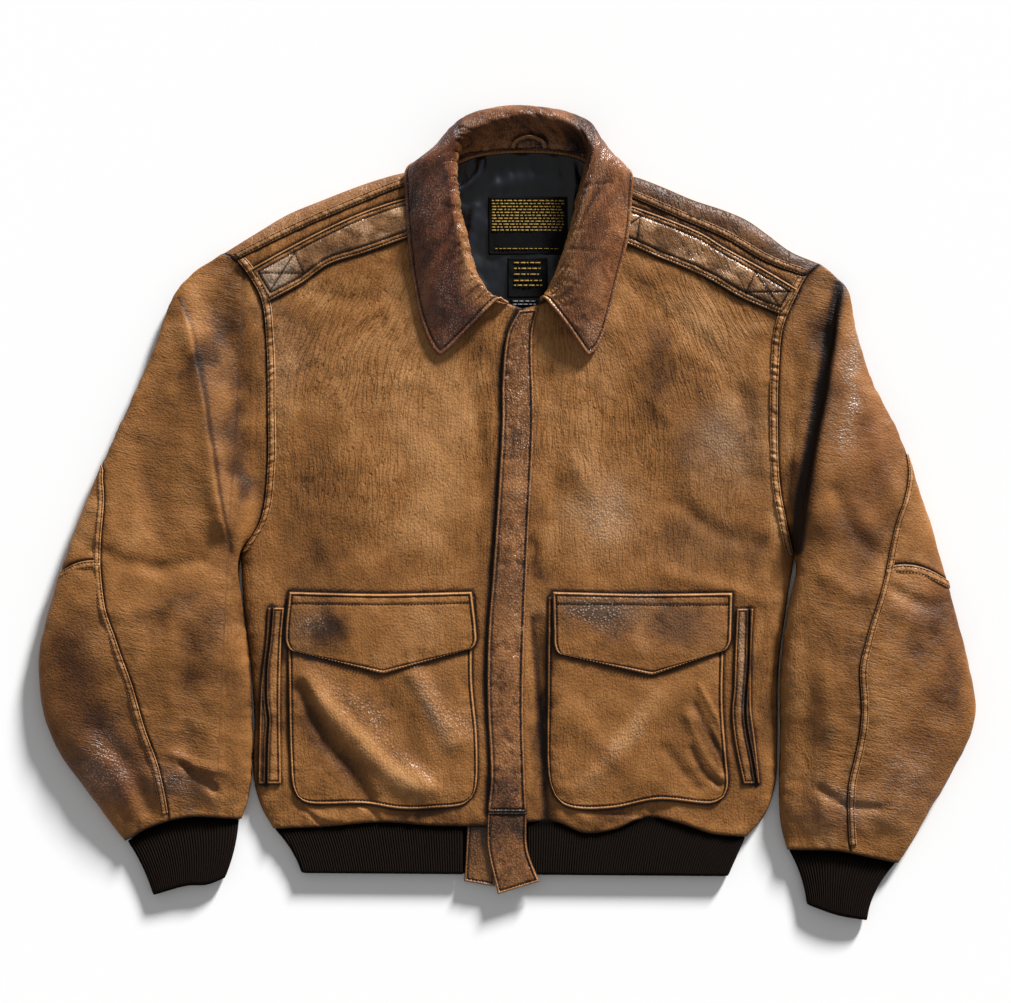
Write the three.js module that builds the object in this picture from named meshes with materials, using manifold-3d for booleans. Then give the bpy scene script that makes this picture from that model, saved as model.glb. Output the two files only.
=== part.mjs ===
// A worn leather flight jacket, laid flat on its back with the front up.
// Millimetres. +X is to the right of the jacket as it is looked down on, +Y towards the collar,
// +Z up. The origin is on the surface that it lies on, under the middle of its outline.
// Left and right are those of someone who looks down on it, not the wearer's.

import * as THREE from "three";
import { mergeVertices } from "three/addons/utils/BufferGeometryUtils.js";
import Module from "manifold-3d";

const wasm = await Module();
wasm.setup();

// Driving dimensions
const LEATHER = 1.8; // wall of every leather piece
const KNIT = 3; // wall of the rib knit
const SATIN = 1; // wall of the lining
const TAPE = 1; // wall of the labels
const SEAM_GAP = 0.3; // between two pieces that are sewn together
const BODY_HEIGHT = 11; // top of the fronts above the surface
const BODY_RIM = 4.5; // height at which fronts and back meet at a side
const HEM_HEIGHT = 10.6; // where the fronts come down over the waistband
const HEM_OVERLAP = 2; // the fronts' edge over the waistband
const WAISTBAND_HEIGHT = 8.2;
const CUFF_HEIGHT = 9.6;
const SIDE_ROUNDING = 14;
const SHOULDER_ROUNDING = 15;
const BACK_ROUNDING = 5;
const NECK_LIFT = 2.6; // the back's neck lies on the collar leaf, which lies on the surface
const FLAP_LIFT = 0.7; // wind flap above the fronts that it covers
const FRONT_TRIM = 0.4; // a panel stops this short of its seams
const BACK_TRIM = 0.75;
const SLEEVE_TRIM = 0.45;
const FAN = 2.1; // how slowly the rows leave the underarm
const STEEP = 0.93; // a border whose normal has a smaller z than this stands steeply

// Outlines of the body, as corners and the few points that a seam bends through
const LEFT_SHOULDER_TIP = [-270, 247];
const LEFT_UNDERARM = [-254, -39];
const LEFT_SEAM_END = [-258, 240];
const LEFT_NECK = [-53, 322];
const LEFT_BACK_NECK = [-57, 331];
const LEFT_HEM_END = [-223, -300];
const RIGHT_SHOULDER_TIP = [297, 237];
const RIGHT_UNDERARM = [273, -42];
const RIGHT_SEAM_END = [284, 224];
const RIGHT_NECK = [86, 313];
const RIGHT_BACK_NECK = [90, 328];
const RIGHT_HEM_END = [228, -308];
const COLLAR_MEETING = [14, 194];
const HEM_MEETING = [-10, -298];

const LEFT_ARMHOLE_BENDS = [[-244, 222], [-234, 202], [-229, 155], [-228, 95], [-228, 46], [-235, -7]];
const RIGHT_ARMHOLE_BENDS = [[274, 205], [262, 176], [258, 136], [257, 79], [259, 27], [266, -12]];
const LEFT_SIDE = [LEFT_UNDERARM, [-250, -92], [-245, -140], [-241, -197], [-242, -249],
  [-235, -278], LEFT_HEM_END];
const RIGHT_SIDE = [RIGHT_UNDERARM, [265, -92], [258, -149], [257, -216], [255, -258],
  [245, -287], RIGHT_HEM_END];
const LEFT_SHOULDER = [LEFT_SHOULDER_TIP, [-236, 268], [-209, 284], [-175, 298], [-136, 313],
  [-102, 323], [-80, 326], LEFT_BACK_NECK];
const RIGHT_SHOULDER = [RIGHT_BACK_NECK, [105, 323], [124, 319], [148, 310], [176, 298], [206, 288],
  [227, 279], [246, 266], [269, 249], RIGHT_SHOULDER_TIP];
const LEFT_SHOULDER_SEAM = [LEFT_SEAM_END, [-194, 271], [-140, 294], [-97, 311], LEFT_NECK];
const RIGHT_SHOULDER_SEAM = [RIGHT_NECK, [119, 299], [167, 278], [206, 261],
  [246, 238], RIGHT_SEAM_END];
const LEFT_NECKLINE = [LEFT_NECK, [-49, 297], [-42, 261], [-31, 227], [-16, 207], COLLAR_MEETING];
const RIGHT_NECKLINE = [RIGHT_NECK, [79, 287], [71, 257], [61, 230], [48, 213],
  [31, 199], COLLAR_MEETING];
const BACK_NECKLINE = [LEFT_BACK_NECK, [-31, 341], [19, 345], [67, 340], RIGHT_BACK_NECK];
const CLOSURE = [COLLAR_MEETING, [8, 150], [4, 89], [-4, -45], [-9, -130], [-9, -216], HEM_MEETING];
const BACK_HEM = [LEFT_HEM_END, [-100, -297], [0, -297], [120, -300], RIGHT_HEM_END];
const LEFT_HEM = [LEFT_HEM_END, [-172, -298], [-121, -294], [-74, -297], HEM_MEETING];
const RIGHT_HEM = [HEM_MEETING, [43, -293], [73, -304], [101, -301], [133, -289], [160, -294],
  [195, -305], RIGHT_HEM_END];

// Outlines of the sleeves: outer edge, inner edge beside the body, and the end at the cuff
const LEFT_SLEEVE = {
  outer: [LEFT_SHOULDER_TIP, [-299, 228], [-317, 207], [-338, 151], [-357, 108], [-380, 58],
    [-409, -12], [-433, -83], [-445, -133], [-444, -173], [-428, -225], [-400, -264], [-364, -312]],
  inner: [LEFT_UNDERARM, [-257.8, -50], [-254, -85], [-246, -140], [-242.5, -197], [-243.5, -249],
    [-247, -273], [-253, -291]],
  end: [[-364, -312], [-340, -299], [-305, -289], [-253, -291]],
  seam: [[-383, 40], [-382, 8], [-384, -43], [-380, -85], [-369, -125], [-355, -162], [-345, -194],
    [-332, -230], [-321, -292]],
  elbow: [[-424, -55], [-385, -42]],
};
const RIGHT_SLEEVE = {
  outer: [RIGHT_SHOULDER_TIP, [313, 224], [323, 212], [331, 174], [347, 124], [367, 86], [382, 50],
    [401, -7], [418, -64], [436, -135], [445, -178], [442, -204], [423, -245], [392, -299],
    [372, -333]],
  inner: [RIGHT_UNDERARM, [276, -53], [269, -92], [260, -149], [259, -216], [258, -258],
    [260, -296], [266, -320]],
  end: [[266, -320], [314, -321], [344, -327], [372, -333]],
  seam: [[379, 50], [377, 17], [367, -14], [357, -56], [340, -121], [332, -161], [329, -230],
    [324, -257], [325, -322]],
  elbow: [[418, -62], [361, -48]],
};
const SLEEVE_CROWN = [[0, BODY_HEIGHT], [0.3, 26], [0.65, 31], [0.9, 22],
  [1, 15]]; // height along the sleeve
const SLEEVE_RIM = [[0, BODY_RIM], [0.3, 9], [0.7, 10], [1, 6]];
const SLEEVE_FLATNESS = [[0, 8], [0.2, 3.2], [0.7, 2.4], [1, 3]]; // exponent of the domed section

// Cuffs and waistband of rib knit
const LEFT_CUFF = {
  top: [[-361, -312.3], [-340, -299.3], [-305, -289.3], [-256, -291.3]],
  end: [[-337, -363], [-305, -353], [-286, -353], [-269, -349]],
};
const RIGHT_CUFF = {
  top: [[268, -320.4], [314, -321.3], [343, -327.3], [369, -332.8]],
  end: [[285, -372], [314, -382], [342, -387]],
};
const WAISTBAND = { leftEnd: -43, rightEnd: 20, leftBottom: [-196, -342], rightBottom: [210, -345] };

// Folds of the cloth: a line, how far it stands up (or sinks), and half its width
const FOLDS = [
  { line: [[-310, 205], [-300, 157], [-282, 105], [-272, 50], [-262, -5]], rise: 7, spread: 13 },
  { line: [[-272, 195], [-256, 120], [-250, 40]], rise: -3.5, spread: 12 },
  { line: [[309, 168], [293, 110], [286, 50], [277, -5]], rise: -8, spread: 7 },
  { line: [[333, 165], [322, 105], [308, 45], [296, -10]], rise: 6, spread: 14 },
  { line: [[27, -105], [31, -190], [37, -290]], rise: -3.5, spread: 8 },
  { line: [[-166, -160], [-120, -205], [-88, -252], [-58, -262]], rise: 2.5, spread: 14 },
  { line: [[120, 150], [80, 40], [60, -60]], rise: 2, spread: 26 },
  { line: [[-150, 140], [-150, 20]], rise: 2.5, spread: 50 },
];

// Pieces that lie on a panel, as outlines
const POCKET_LEFT = [[-209, -80], [-208, -135], [-206, -231], [-202, -262], [-191, -274],
  [-135, -276], [-101, -281], [-68, -280], [-42, -274], [-30, -261], [-29, -215], [-34, -155],
  [-32, -80]];
const POCKET_RIGHT = [[39, -80], [38, -168], [39, -247], [48, -271], [69, -281], [101, -280],
  [143, -272], [194, -275], [209, -262], [207, -225], [204, -178], [207, -80]];
const POCKET_FLAP_LEFT = [[-207, -75], [-120, -77], [-34, -75], [-30, -112], [-29.5, -121], [-33, -128],
  [-112, -150.5], [-118, -151.5], [-124, -150.5], [-205, -129], [-210, -122], [-210.5, -112]];
const POCKET_FLAP_RIGHT = [[43, -75], [126, -77], [213, -76], [212, -112], [211, -122], [205, -130],
  [143, -151.5], [137, -152.5], [131, -151.5], [50, -133], [45, -125], [44, -112]];
const WELT_LEFT_OUTER = [[-227.5, -90], [-224.3, -90], [-226.7, -121], [-229.9, -149], [-229.9, -178],
  [-227.9, -197], [-229, -216], [-229.9, -257], [-236.7, -257], [-235.9, -216], [-234.4, -168],
  [-232.7, -149], [-229.4, -121]];
const WELT_LEFT_INNER = [[-223.3, -90], [-212, -90], [-214.6, -121], [-216, -178], [-215, -257],
  [-228.9, -257], [-228, -216], [-226.9, -197], [-228.9, -178], [-228.9, -149], [-225.7, -121]];
const WELT_RIGHT_OUTER = [[229.9, -91], [233.4, -91], [231.6, -130], [231, -168], [231.4, -187],
  [235.1, -216], [239.6, -257], [236.5, -257], [233, -235], [227.5, -206], [225.9, -187], [228.9, -140]];
const WELT_RIGHT_INNER = [[217.6, -91], [228.9, -91], [227.9, -140], [224.9, -187], [226.5, -206],
  [232, -235], [235.5, -257], [224, -257], [215.6, -216], [213, -187], [214.8, -168], [216, -130]];
const STRAP_LEFT = [[-245, 231], [-209, 251], [-172, 270], [-136, 286], [-93, 300], [-66, 306],
  [-66, 272], [-97, 261], [-136, 247], [-170, 236], [-196, 218], [-227, 201]];
const STRAP_RIGHT = [[101, 296], [119, 291], [183, 266], [206, 252], [246, 230], [276, 212],
  [261, 188], [225, 203], [186, 225], [141, 244], [116, 255], [98, 260]];
const LINING = [[-50, 330], [-28, 338.5], [19, 342.5], [65, 337.5], [84, 326], [92, 297], [84, 250],
  [64, 210], [36, 178], [-7, 178], [-36, 210], [-52, 260], [-56, 300]];
const LABEL_MAIN = [[-18, 300], [57, 301], [57, 247], [-19, 245]];
const LABEL_SIZE = [[0, 243], [38, 243], [38, 205], [0, 205]];
const LABEL_CARE = [[3, 203.5], [29, 203.5], [29, 196], [3, 196]];

// Wind flap, its tab, and the tab under it
const FLAP_LEFT = [[11, 192], [0, 170], [-5, 122], [-5, 89], [-13, -45], [-18, -110], [-19, -176],
  [-16, -252], [-19, -284]];
const FLAP_RIGHT = [[29, 194], [24, 170], [25, 89], [19, -45], [15, -176], [17, -263], [18, -284]];
const TAB_LEFT = [[-19, -284], [-19, -317], [-9, -362]];
const TAB_RIGHT = [[18, -284], [19, -320], [30, -350]];
const TAB_HEIGHT = 11;
const UNDER_TAB_LEFT = [[-38, -295], [-41, -350]];
const UNDER_TAB_RIGHT = [[-8, -295], [-12, -355]];
const UNDER_TAB_HEIGHT = 8.4;

// Collar: sections from the left front corner round the back of the neck to the right one.
// Each section runs from the neck seam up the stand to the roll, and down the leaf to its edge.
const COLLAR_SECTIONS = [
  [[1, 200, 12], [-2, 201, 15], [-6, 203, 19], [-14, 198, 20], [-38, 173, 20], [-63, 148, 17]],
  [[-13, 206, 12], [-15, 207, 16], [-20, 211, 21], [-28, 207, 22], [-50, 182, 21], [-73, 160, 17]],
  [[-27, 225, 12], [-27, 225, 18], [-34, 228, 25], [-42, 225, 26], [-63, 206, 24], [-83, 187, 17]],
  [[-37, 256, 12], [-36, 256, 20], [-43, 257, 29], [-51, 255, 29.5], [-72, 240, 26], [-90, 223, 17]],
  [[-44, 287, 12], [-43, 287, 21], [-50, 287, 31], [-58, 286, 31], [-78, 275, 27], [-95, 263, 17]],
  [[-48, 312, 12], [-47, 313, 22], [-54, 316, 32], [-62, 317, 31], [-82, 310, 25], [-97, 300, 17]],
  [[-49, 326, 11], [-48, 328, 21], [-56, 333, 32], [-66, 337, 30], [-84, 334, 22], [-96, 327, 12]],
  [[-48, 336, 9], [-45, 341, 19], [-49, 352, 31], [-58, 359, 22], [-64, 352, 8], [-72, 336, 0]],
  [[-33, 343.5, 6], [-30, 352, 14], [-28, 366, 27], [-34, 379, 16], [-32, 374, 2], [-40, 330, 0]],
  [[19, 347.5, 5.5], [19, 360, 14], [19, 378, 26], [19, 387, 12], [19, 378, 1], [19, 325, 0]],
  [[71, 342.5, 6], [67, 351, 14], [65, 364, 27], [70, 376, 16], [67, 370, 2], [76, 328, 0]],
  [[84, 333, 9], [80, 337, 20], [83, 347, 32], [91, 352, 22], [95, 346, 8], [99, 330, 0]],
  [[82, 320, 11], [81, 323, 21], [87, 330, 32], [96, 333, 30], [109, 331, 22], [118, 323, 12]],
  [[79, 307, 12], [78, 307, 22], [84, 309, 32], [92, 310, 31], [107, 304, 25], [118, 296, 17]],
  [[73, 283, 12], [72, 283, 22], [78, 283, 32], [87, 283, 32], [103, 275, 27], [115, 262, 18]],
  [[66, 255, 12], [65, 255, 21], [71, 253, 30], [79, 252, 30.5], [94, 240, 27], [105, 221, 18]],
  [[57, 230, 12], [56, 230, 19], [62, 225, 27], [69, 221, 28], [83, 203, 26], [95, 182, 19]],
  [[46, 214, 12], [45, 215, 17], [50, 210, 23], [57, 205, 24], [71, 182, 23], [86, 158, 18]],
  [[31, 202, 12], [31, 203, 16], [34, 204, 21], [40, 198, 22], [57, 176, 22], [76, 148, 18]],
];
const LOOP_PATH = [[5, 347, 9], [8, 352.5, 13.5], [20, 356.5, 17.5], [33, 352.5, 13.5], [36, 347, 9]];
const LOOP_WIDTH = 4;
const LOOP_THICKNESS = 1.5;

// Finishes
const TAN = { color: 0x8a5a2b, roughness: 0.55, metalness: 0 };
const DARK_TAN = { color: 0x55392a, roughness: 0.5, metalness: 0 };
const RED_BROWN = { color: 0x5a3220, roughness: 0.4, metalness: 0 };
const KNIT_BROWN = { color: 0x241c18, roughness: 0.95, metalness: 0 };
const SATIN_BLACK = { color: 0x22252a, roughness: 0.4, metalness: 0 };
const TAPE_BLACK = { color: 0x111214, roughness: 0.8, metalness: 0 };

const jacket = new THREE.Group();

function addPiece(name, geometry, finish) {
  const mesh = new THREE.Mesh(geometry, new THREE.MeshStandardMaterial(finish));
  mesh.name = name;
  jacket.add(mesh);
}

// Curves

// A smooth path through points in the plane: a function of 0 to 1 by length
function through(points) {
  const curve = new THREE.CatmullRomCurve3(
    points.map(([x, y]) => new THREE.Vector3(x, y, 0)), false, "centripetal");
  return (t) => curve.getPointAt(THREE.MathUtils.clamp(t, 0, 1));
}

// Two paths end to end, with a corner where they meet at the given share of the whole
const joined = (first, second, share) => (t) => (
  t <= share ? first(t / share) : second((t - share) / (1 - share)));

// A stretch of a path, backwards where from is more than to
const stretch = (path, from, to) => (t) => path(THREE.MathUtils.lerp(from, to, t));
const backwards = (path) => stretch(path, 1, 0);

// A path that starts slowly, so that rows fan out round its first corner
const eased = (path) => (t) => path(t ** FAN);

// How far along a path it passes nearest to a point
function placeOn(path, [x, y]) {
  const miss = (t) => path(t).distanceTo(new THREE.Vector3(x, y, 0));
  return evenly(400).reduce((best, t) => (miss(t) < miss(best) ? t : best));
}

// The path's height on the page at a given x, for a path that never turns back
function pathY(path) {
  const points = evenly(200).map((t) => path(t));
  return (x) => {
    const passed = points.filter((p) => p.x < x).length;
    const next = THREE.MathUtils.clamp(passed, 1, points.length - 1);
    const [a, b] = [points[next - 1], points[next]];
    return THREE.MathUtils.lerp(a.y, b.y, THREE.MathUtils.clamp((x - a.x) / (b.x - a.x), 0, 1));
  };
}

// A value that moves smoothly between stops given as [place, value]
function along(stops, place) {
  const next = stops.findIndex(([at]) => at >= place);
  if (next < 0) return stops[stops.length - 1][1];
  if (next === 0) return stops[0][1];
  const [[from, a], [to, b]] = [stops[next - 1], stops[next]];
  return THREE.MathUtils.lerp(a, b, THREE.MathUtils.smoothstep(place, from, to));
}

// Shortest distance from a point in the plane to a chain of points
function distanceTo(chain, x, y) {
  let least = Infinity;
  for (let i = 1; i < chain.length; i++) {
    const [ax, ay] = chain[i - 1];
    const [dx, dy] = [chain[i][0] - ax, chain[i][1] - ay];
    const t = THREE.MathUtils.clamp(((x - ax) * dx + (y - ay) * dy) / (dx * dx + dy * dy), 0, 1);
    least = Math.min(least, Math.hypot(x - ax - t * dx, y - ay - t * dy));
  }
  return least;
}

const sampled = (points) => {
  const path = through(points);
  return evenly(40).map((t) => path(t).toArray());
};

function evenly(steps, from = 0, to = 1) {
  return Array.from({ length: steps + 1 }, (_, i) => from + ((to - from) * i) / steps);
}

// Heights

// A quarter round: 0 at an edge, 1 at its rounding's width from it and beyond
const rounded = (distance, width) => Math.sqrt(1 - (1 - Math.min(distance / width, 1)) ** 2);

const foldHeight = (x, y) => FOLDS.reduce(
  (sum, { line, rise, spread }) => sum + rise * Math.exp(-((distanceTo(line, x, y) / spread) ** 2)), 0);

const SIDES = [sampled(LEFT_SIDE), sampled(RIGHT_SIDE)];
const SHOULDERS = [sampled(LEFT_SHOULDER), sampled(RIGHT_SHOULDER)];
const HEMS = [sampled(LEFT_HEM), sampled(RIGHT_HEM)];
const nearest = (chains, x, y) => Math.min(...chains.map((chain) => distanceTo(chain, x, y)));

// Outer face of the fronts and yokes above the surface, without the turn down to the waistband
function bodyTop(x, y) {
  const edge = rounded(nearest(SIDES, x, y), SIDE_ROUNDING) *
    rounded(nearest(SHOULDERS, x, y), SHOULDER_ROUNDING);
  return BODY_RIM + (BODY_HEIGHT + foldHeight(x, y) - BODY_RIM) * edge;
}

function frontTop(x, y) {
  const full = bodyTop(x, y);
  const edge = rounded(nearest(HEMS, x, y), SIDE_ROUNDING);
  return full > HEM_HEIGHT ? HEM_HEIGHT + (full - HEM_HEIGHT) * edge : full;
}

// Outer face of the back, which lies on the surface and turns up at sides and shoulders
function backUnderside(x, y) {
  const lift = NECK_LIFT * THREE.MathUtils.smoothstep(y, 285, 312) *
    THREE.MathUtils.smoothstep(125 - Math.abs(x - 17), 0, 25);
  const turn = 1 - rounded(Math.min(nearest(SIDES, x, y), nearest(SHOULDERS, x, y)), BACK_ROUNDING);
  return lift + (BODY_RIM - lift) * turn;
}

// Cloth pieces as grids of points, row by row

// A patch between four edges in the plane: bottom and top run left to right, left and right run up
function patch({ bottom, top, left, right }, u, v) {
  const at = (path, t, weight) => path(t).multiplyScalar(weight);
  const corner = (path, t, weight) => path(t).multiplyScalar(-weight);
  return at(bottom, u, 1 - v).add(at(top, u, v)).add(at(left, v, 1 - u)).add(at(right, v, u))
    .add(corner(bottom, 0, (1 - u) * (1 - v))).add(corner(bottom, 1, u * (1 - v)))
    .add(corner(top, 0, (1 - u) * v)).add(corner(top, 1, u * v));
}

function gridOf(point, us, vs) {
  return vs.map((v) => us.map((u) => point(u, v)));
}

function heightGrid(edges, height, us, vs) {
  return gridOf((u, v) => {
    const p = patch(edges, u, v);
    p.z = height(p.x, p.y);
    return p;
  }, us, vs);
}

// Unit normals of a grid, on the side that its columns and rows turn round to
function normalsOf(grid) {
  const last = [grid.length - 1, grid[0].length - 1];
  return grid.map((row, i) => row.map((_, j) => {
    const across = grid[i][Math.min(j + 1, last[1])].clone().sub(grid[i][Math.max(j - 1, 0)]);
    const up = grid[Math.min(i + 1, last[0])][j].clone().sub(grid[Math.max(i - 1, 0)][j]);
    return across.cross(up).normalize();
  }));
}

const movedOut = (grid, normals, distance) => grid.map((row, i) => row.map(
  (p, j) => p.clone().addScaledVector(normals[i][j], distance)));

// Unit steps square to each border that a point lies on, into the panel; none for an inner point.
// At a corner they run along the two borders.
function stepsInside(grid, i, j) {
  const [rows, columns] = [grid.length - 1, grid[0].length - 1];
  const corner = (i === 0 || i === rows) && (j === 0 || j === columns);
  const between = (a, b) => b.clone().sub(a).normalize();
  const step = (row, column, border) => {
    const across = grid[row][column].clone().sub(grid[i][j]);
    return across.addScaledVector(border, corner ? 0 : -across.dot(border)).normalize();
  };
  const upward = between(grid[Math.max(i - 1, 0)][j], grid[Math.min(i + 1, rows)][j]);
  const sideways = between(grid[i][Math.max(j - 1, 0)], grid[i][Math.min(j + 1, columns)]);
  return [
    ...(j === 0 ? [step(i, 1, upward)] : []), ...(j === columns ? [step(i, columns - 1, upward)] : []),
    ...(i === 0 ? [step(1, j, sideways)] : []), ...(i === rows ? [step(rows - 1, j, sideways)] : []),
  ];
}

// Draws the border of a grid in
const trimmed = (grid, amount) => grid.map((row, i) => row.map((point, j) => stepsInside(grid, i, j)
  .reduce((p, step) => p.addScaledVector(step, amount), point.clone())));

// A closed wall between two grids of the same size; around says that each row is a ring
function wall(outer, inner, around = false) {
  const rows = outer.length;
  const columns = outer[0].length;
  const points = [...outer.flat(), ...inner.flat()].flatMap((p) => p.toArray());
  const faces = [];
  const outerAt = (i, j) => i * columns + (j % columns);
  const innerAt = (i, j) => rows * columns + outerAt(i, j);
  const quad = (a, b, c, d) => faces.push(a, b, c, a, c, d);
  const spans = around ? columns : columns - 1;
  for (let i = 0; i < rows - 1; i++) {
    for (let j = 0; j < spans; j++) {
      quad(outerAt(i, j), outerAt(i, j + 1), outerAt(i + 1, j + 1), outerAt(i + 1, j));
      quad(innerAt(i, j), innerAt(i + 1, j), innerAt(i + 1, j + 1), innerAt(i, j + 1));
    }
  }
  for (let j = 0; j < spans; j++) {
    quad(outerAt(0, j), innerAt(0, j), innerAt(0, j + 1), outerAt(0, j + 1));
    quad(outerAt(rows - 1, j), outerAt(rows - 1, j + 1), innerAt(rows - 1, j + 1), innerAt(rows - 1, j));
  }
  if (!around) {
    const end = columns - 1;
    for (let i = 0; i < rows - 1; i++) {
      quad(outerAt(i, 0), outerAt(i + 1, 0), innerAt(i + 1, 0), innerAt(i, 0));
      quad(outerAt(i, end), innerAt(i, end), innerAt(i + 1, end), outerAt(i + 1, end));
    }
  }
  const geometry = new THREE.BufferGeometry();
  geometry.setAttribute("position", new THREE.Float32BufferAttribute(points, 3));
  geometry.setIndex(faces);
  return geometry;
}

// A panel whose wall lies under its grid. Its border is cut off upright, or level where it stands
// steeply, so that two panels that meet face each other across the gap.
function panel(grid, thickness, trim = SEAM_GAP, normals = normalsOf(grid)) {
  const cut = trimmed(grid, trim);
  const inner = movedOut(cut, normals, -thickness);
  inner.forEach((row, i) => row.forEach((p, j) => {
    const inside = stepsInside(grid, i, j);
    if (inside.length === 0) return;
    const n = normals[i][j];
    const inward = Math.abs(n.z) < STEEP ? new THREE.Vector3(-n.x, -n.y, 0) : new THREE.Vector3(0, 0, -n.z);
    inward.normalize();
    for (const step of inside) {
      const level = step.setZ(0).normalize();
      inward.addScaledVector(level, 2 * Math.max(0, -inward.dot(level)));
    }
    p.copy(cut[i][j]).add(inward.setLength(thickness));
  }));
  return wall(cut, inner);
}

// Solids of the cutting library, only to cut a layer to its outline
function solidOf(geometry) {
  const bare = geometry.index ? geometry.toNonIndexed() : geometry.clone();
  const clean = new THREE.BufferGeometry().setAttribute("position", bare.getAttribute("position"));
  const merged = mergeVertices(clean, 1e-4);
  return new wasm.Manifold(new wasm.Mesh({
    numProp: 3,
    vertProperties: merged.getAttribute("position").array,
    triVerts: new Uint32Array(merged.index.array),
  }));
}

function geometryOf(solid) {
  const mesh = solid.getMesh();
  const geometry = new THREE.BufferGeometry();
  geometry.setAttribute("position", new THREE.BufferAttribute(mesh.vertProperties, 3));
  geometry.setIndex(new THREE.BufferAttribute(mesh.triVerts, 1));
  return geometry;
}

function prism(outline) {
  const shape = new THREE.Shape(outline.map(([x, y]) => new THREE.Vector2(x, y)));
  return new THREE.ExtrudeGeometry(shape, { depth: 200, bevelEnabled: false }).translate(0, 0, -100);
}

// A layer that lies on a panel: the panel's own points moved out, cut to an outline
function layerOn(grid, outline, lift, thickness) {
  const normals = normalsOf(grid);
  const slab = wall(movedOut(grid, normals, lift + thickness), movedOut(grid, normals, lift));
  return geometryOf(solidOf(slab).intersect(solidOf(prism(outline))));
}

// Body

const leftArmhole = through([LEFT_SHOULDER_TIP, LEFT_SEAM_END, ...LEFT_ARMHOLE_BENDS, LEFT_UNDERARM]);
const rightArmhole = through([RIGHT_SHOULDER_TIP, RIGHT_SEAM_END, ...RIGHT_ARMHOLE_BENDS, RIGHT_UNDERARM]);
const leftSeamPlace = placeOn(leftArmhole, LEFT_SEAM_END);
const rightSeamPlace = placeOn(rightArmhole, RIGHT_SEAM_END);
const leftSide = backwards(through(LEFT_SIDE));
const rightSide = backwards(through(RIGHT_SIDE));

const fineEdge = [0, 0.006, 0.025];
const acrossLeft = [...fineEdge, ...evenly(7, 0.07, 1)];
const acrossRight = acrossLeft.map((u) => 1 - u).reverse();
const upArmhole = [0.508, 0.518, 0.535, 0.56, 0.6, 0.65, 0.7, 0.76];
const upFront = [0, 0.012, 0.035, ...evenly(4, 0.07, 0.5), ...upArmhole, ...evenly(5, 0.82, 1)];

const leftFrontGrid = heightGrid({
  bottom: through(LEFT_HEM),
  top: through(LEFT_SHOULDER_SEAM),
  left: joined(leftSide, stretch(leftArmhole, 1, leftSeamPlace), 0.5),
  right: joined(backwards(through(CLOSURE)), backwards(through(LEFT_NECKLINE)), 0.74),
}, frontTop, acrossLeft, upFront);

const rightFrontGrid = heightGrid({
  bottom: through(RIGHT_HEM),
  top: through(RIGHT_SHOULDER_SEAM),
  left: joined(backwards(through(CLOSURE)), backwards(through(RIGHT_NECKLINE)), 0.74),
  right: joined(rightSide, stretch(rightArmhole, 1, rightSeamPlace), 0.5),
}, frontTop, acrossRight, upFront);

function yokeGrid(seam, shoulder, left, right) {
  const edges = { bottom: through(seam), top: through(shoulder), left, right };
  return heightGrid(edges, bodyTop, evenly(10), [0, 0.4, 0.75, 0.93, 1]);
}

const neckAndRight = joined(through(BACK_NECKLINE), through(RIGHT_SHOULDER), 0.4);
const backGrid = heightGrid({
  bottom: through(BACK_HEM),
  top: joined(through(LEFT_SHOULDER), neckAndRight, 0.4),
  left: joined(leftSide, backwards(leftArmhole), 0.5),
  right: joined(rightSide, backwards(rightArmhole), 0.5),
}, backUnderside,
[0, 0.004, 0.012, 0.04, ...evenly(8, 0.11, 0.89), 0.96, 0.988, 0.996, 1],
[...evenly(4, 0, 0.5), ...upArmhole, ...evenly(4, 0.82, 0.975), 0.992, 1]);

// The back's outer face is the lower one, so its grid is turned over
const backOuter = backGrid.map((row) => [...row].reverse());

addPiece("back", panel(backOuter, LEATHER, BACK_TRIM), TAN);
addPiece("front_left", panel(leftFrontGrid, LEATHER, FRONT_TRIM), TAN);
addPiece("front_right", panel(rightFrontGrid, LEATHER, FRONT_TRIM), TAN);
const leftYoke = yokeGrid(LEFT_SHOULDER_SEAM, LEFT_SHOULDER,
  stretch(leftArmhole, leftSeamPlace, 0), through([LEFT_NECK, LEFT_BACK_NECK]));
const rightYoke = yokeGrid(RIGHT_SHOULDER_SEAM, RIGHT_SHOULDER,
  through([RIGHT_NECK, RIGHT_BACK_NECK]), stretch(rightArmhole, rightSeamPlace, 0));
addPiece("yoke_left", panel(leftYoke, LEATHER, SLEEVE_TRIM), DARK_TAN);
addPiece("yoke_right", panel(rightYoke, LEATHER, SLEEVE_TRIM), DARK_TAN);

// Sleeves: flattened tubes, round the angle from the left edge over the top and back underneath

function sleevePoint(edges, angle, s) {
  const p = patch(edges, (1 - Math.cos(angle)) / 2, 1 - s);
  const rim = along(SLEEVE_RIM, s);
  const power = 2 / along(SLEEVE_FLATNESS, s);
  const dome = Math.abs(Math.sin(angle)) ** power;
  const crown = along(SLEEVE_CROWN, s) + foldHeight(p.x, p.y);
  p.z = Math.sin(angle) >= 0 ? rim + (crown - rim) * dome : rim * (1 - Math.abs(Math.sin(angle)) ** 0.4);
  return p;
}

// Outward normal of a sleeve, the same for both panels that meet at a seam
function sleeveNormal(edges, angle, s) {
  const small = 0.03;
  const round = sleevePoint(edges, angle + small, s).sub(sleevePoint(edges, angle - small, s));
  const above = sleevePoint(edges, angle, Math.max(s - small, 0));
  const below = sleevePoint(edges, angle, Math.min(s + small, 1));
  return round.cross(above.sub(below)).normalize();
}

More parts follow.
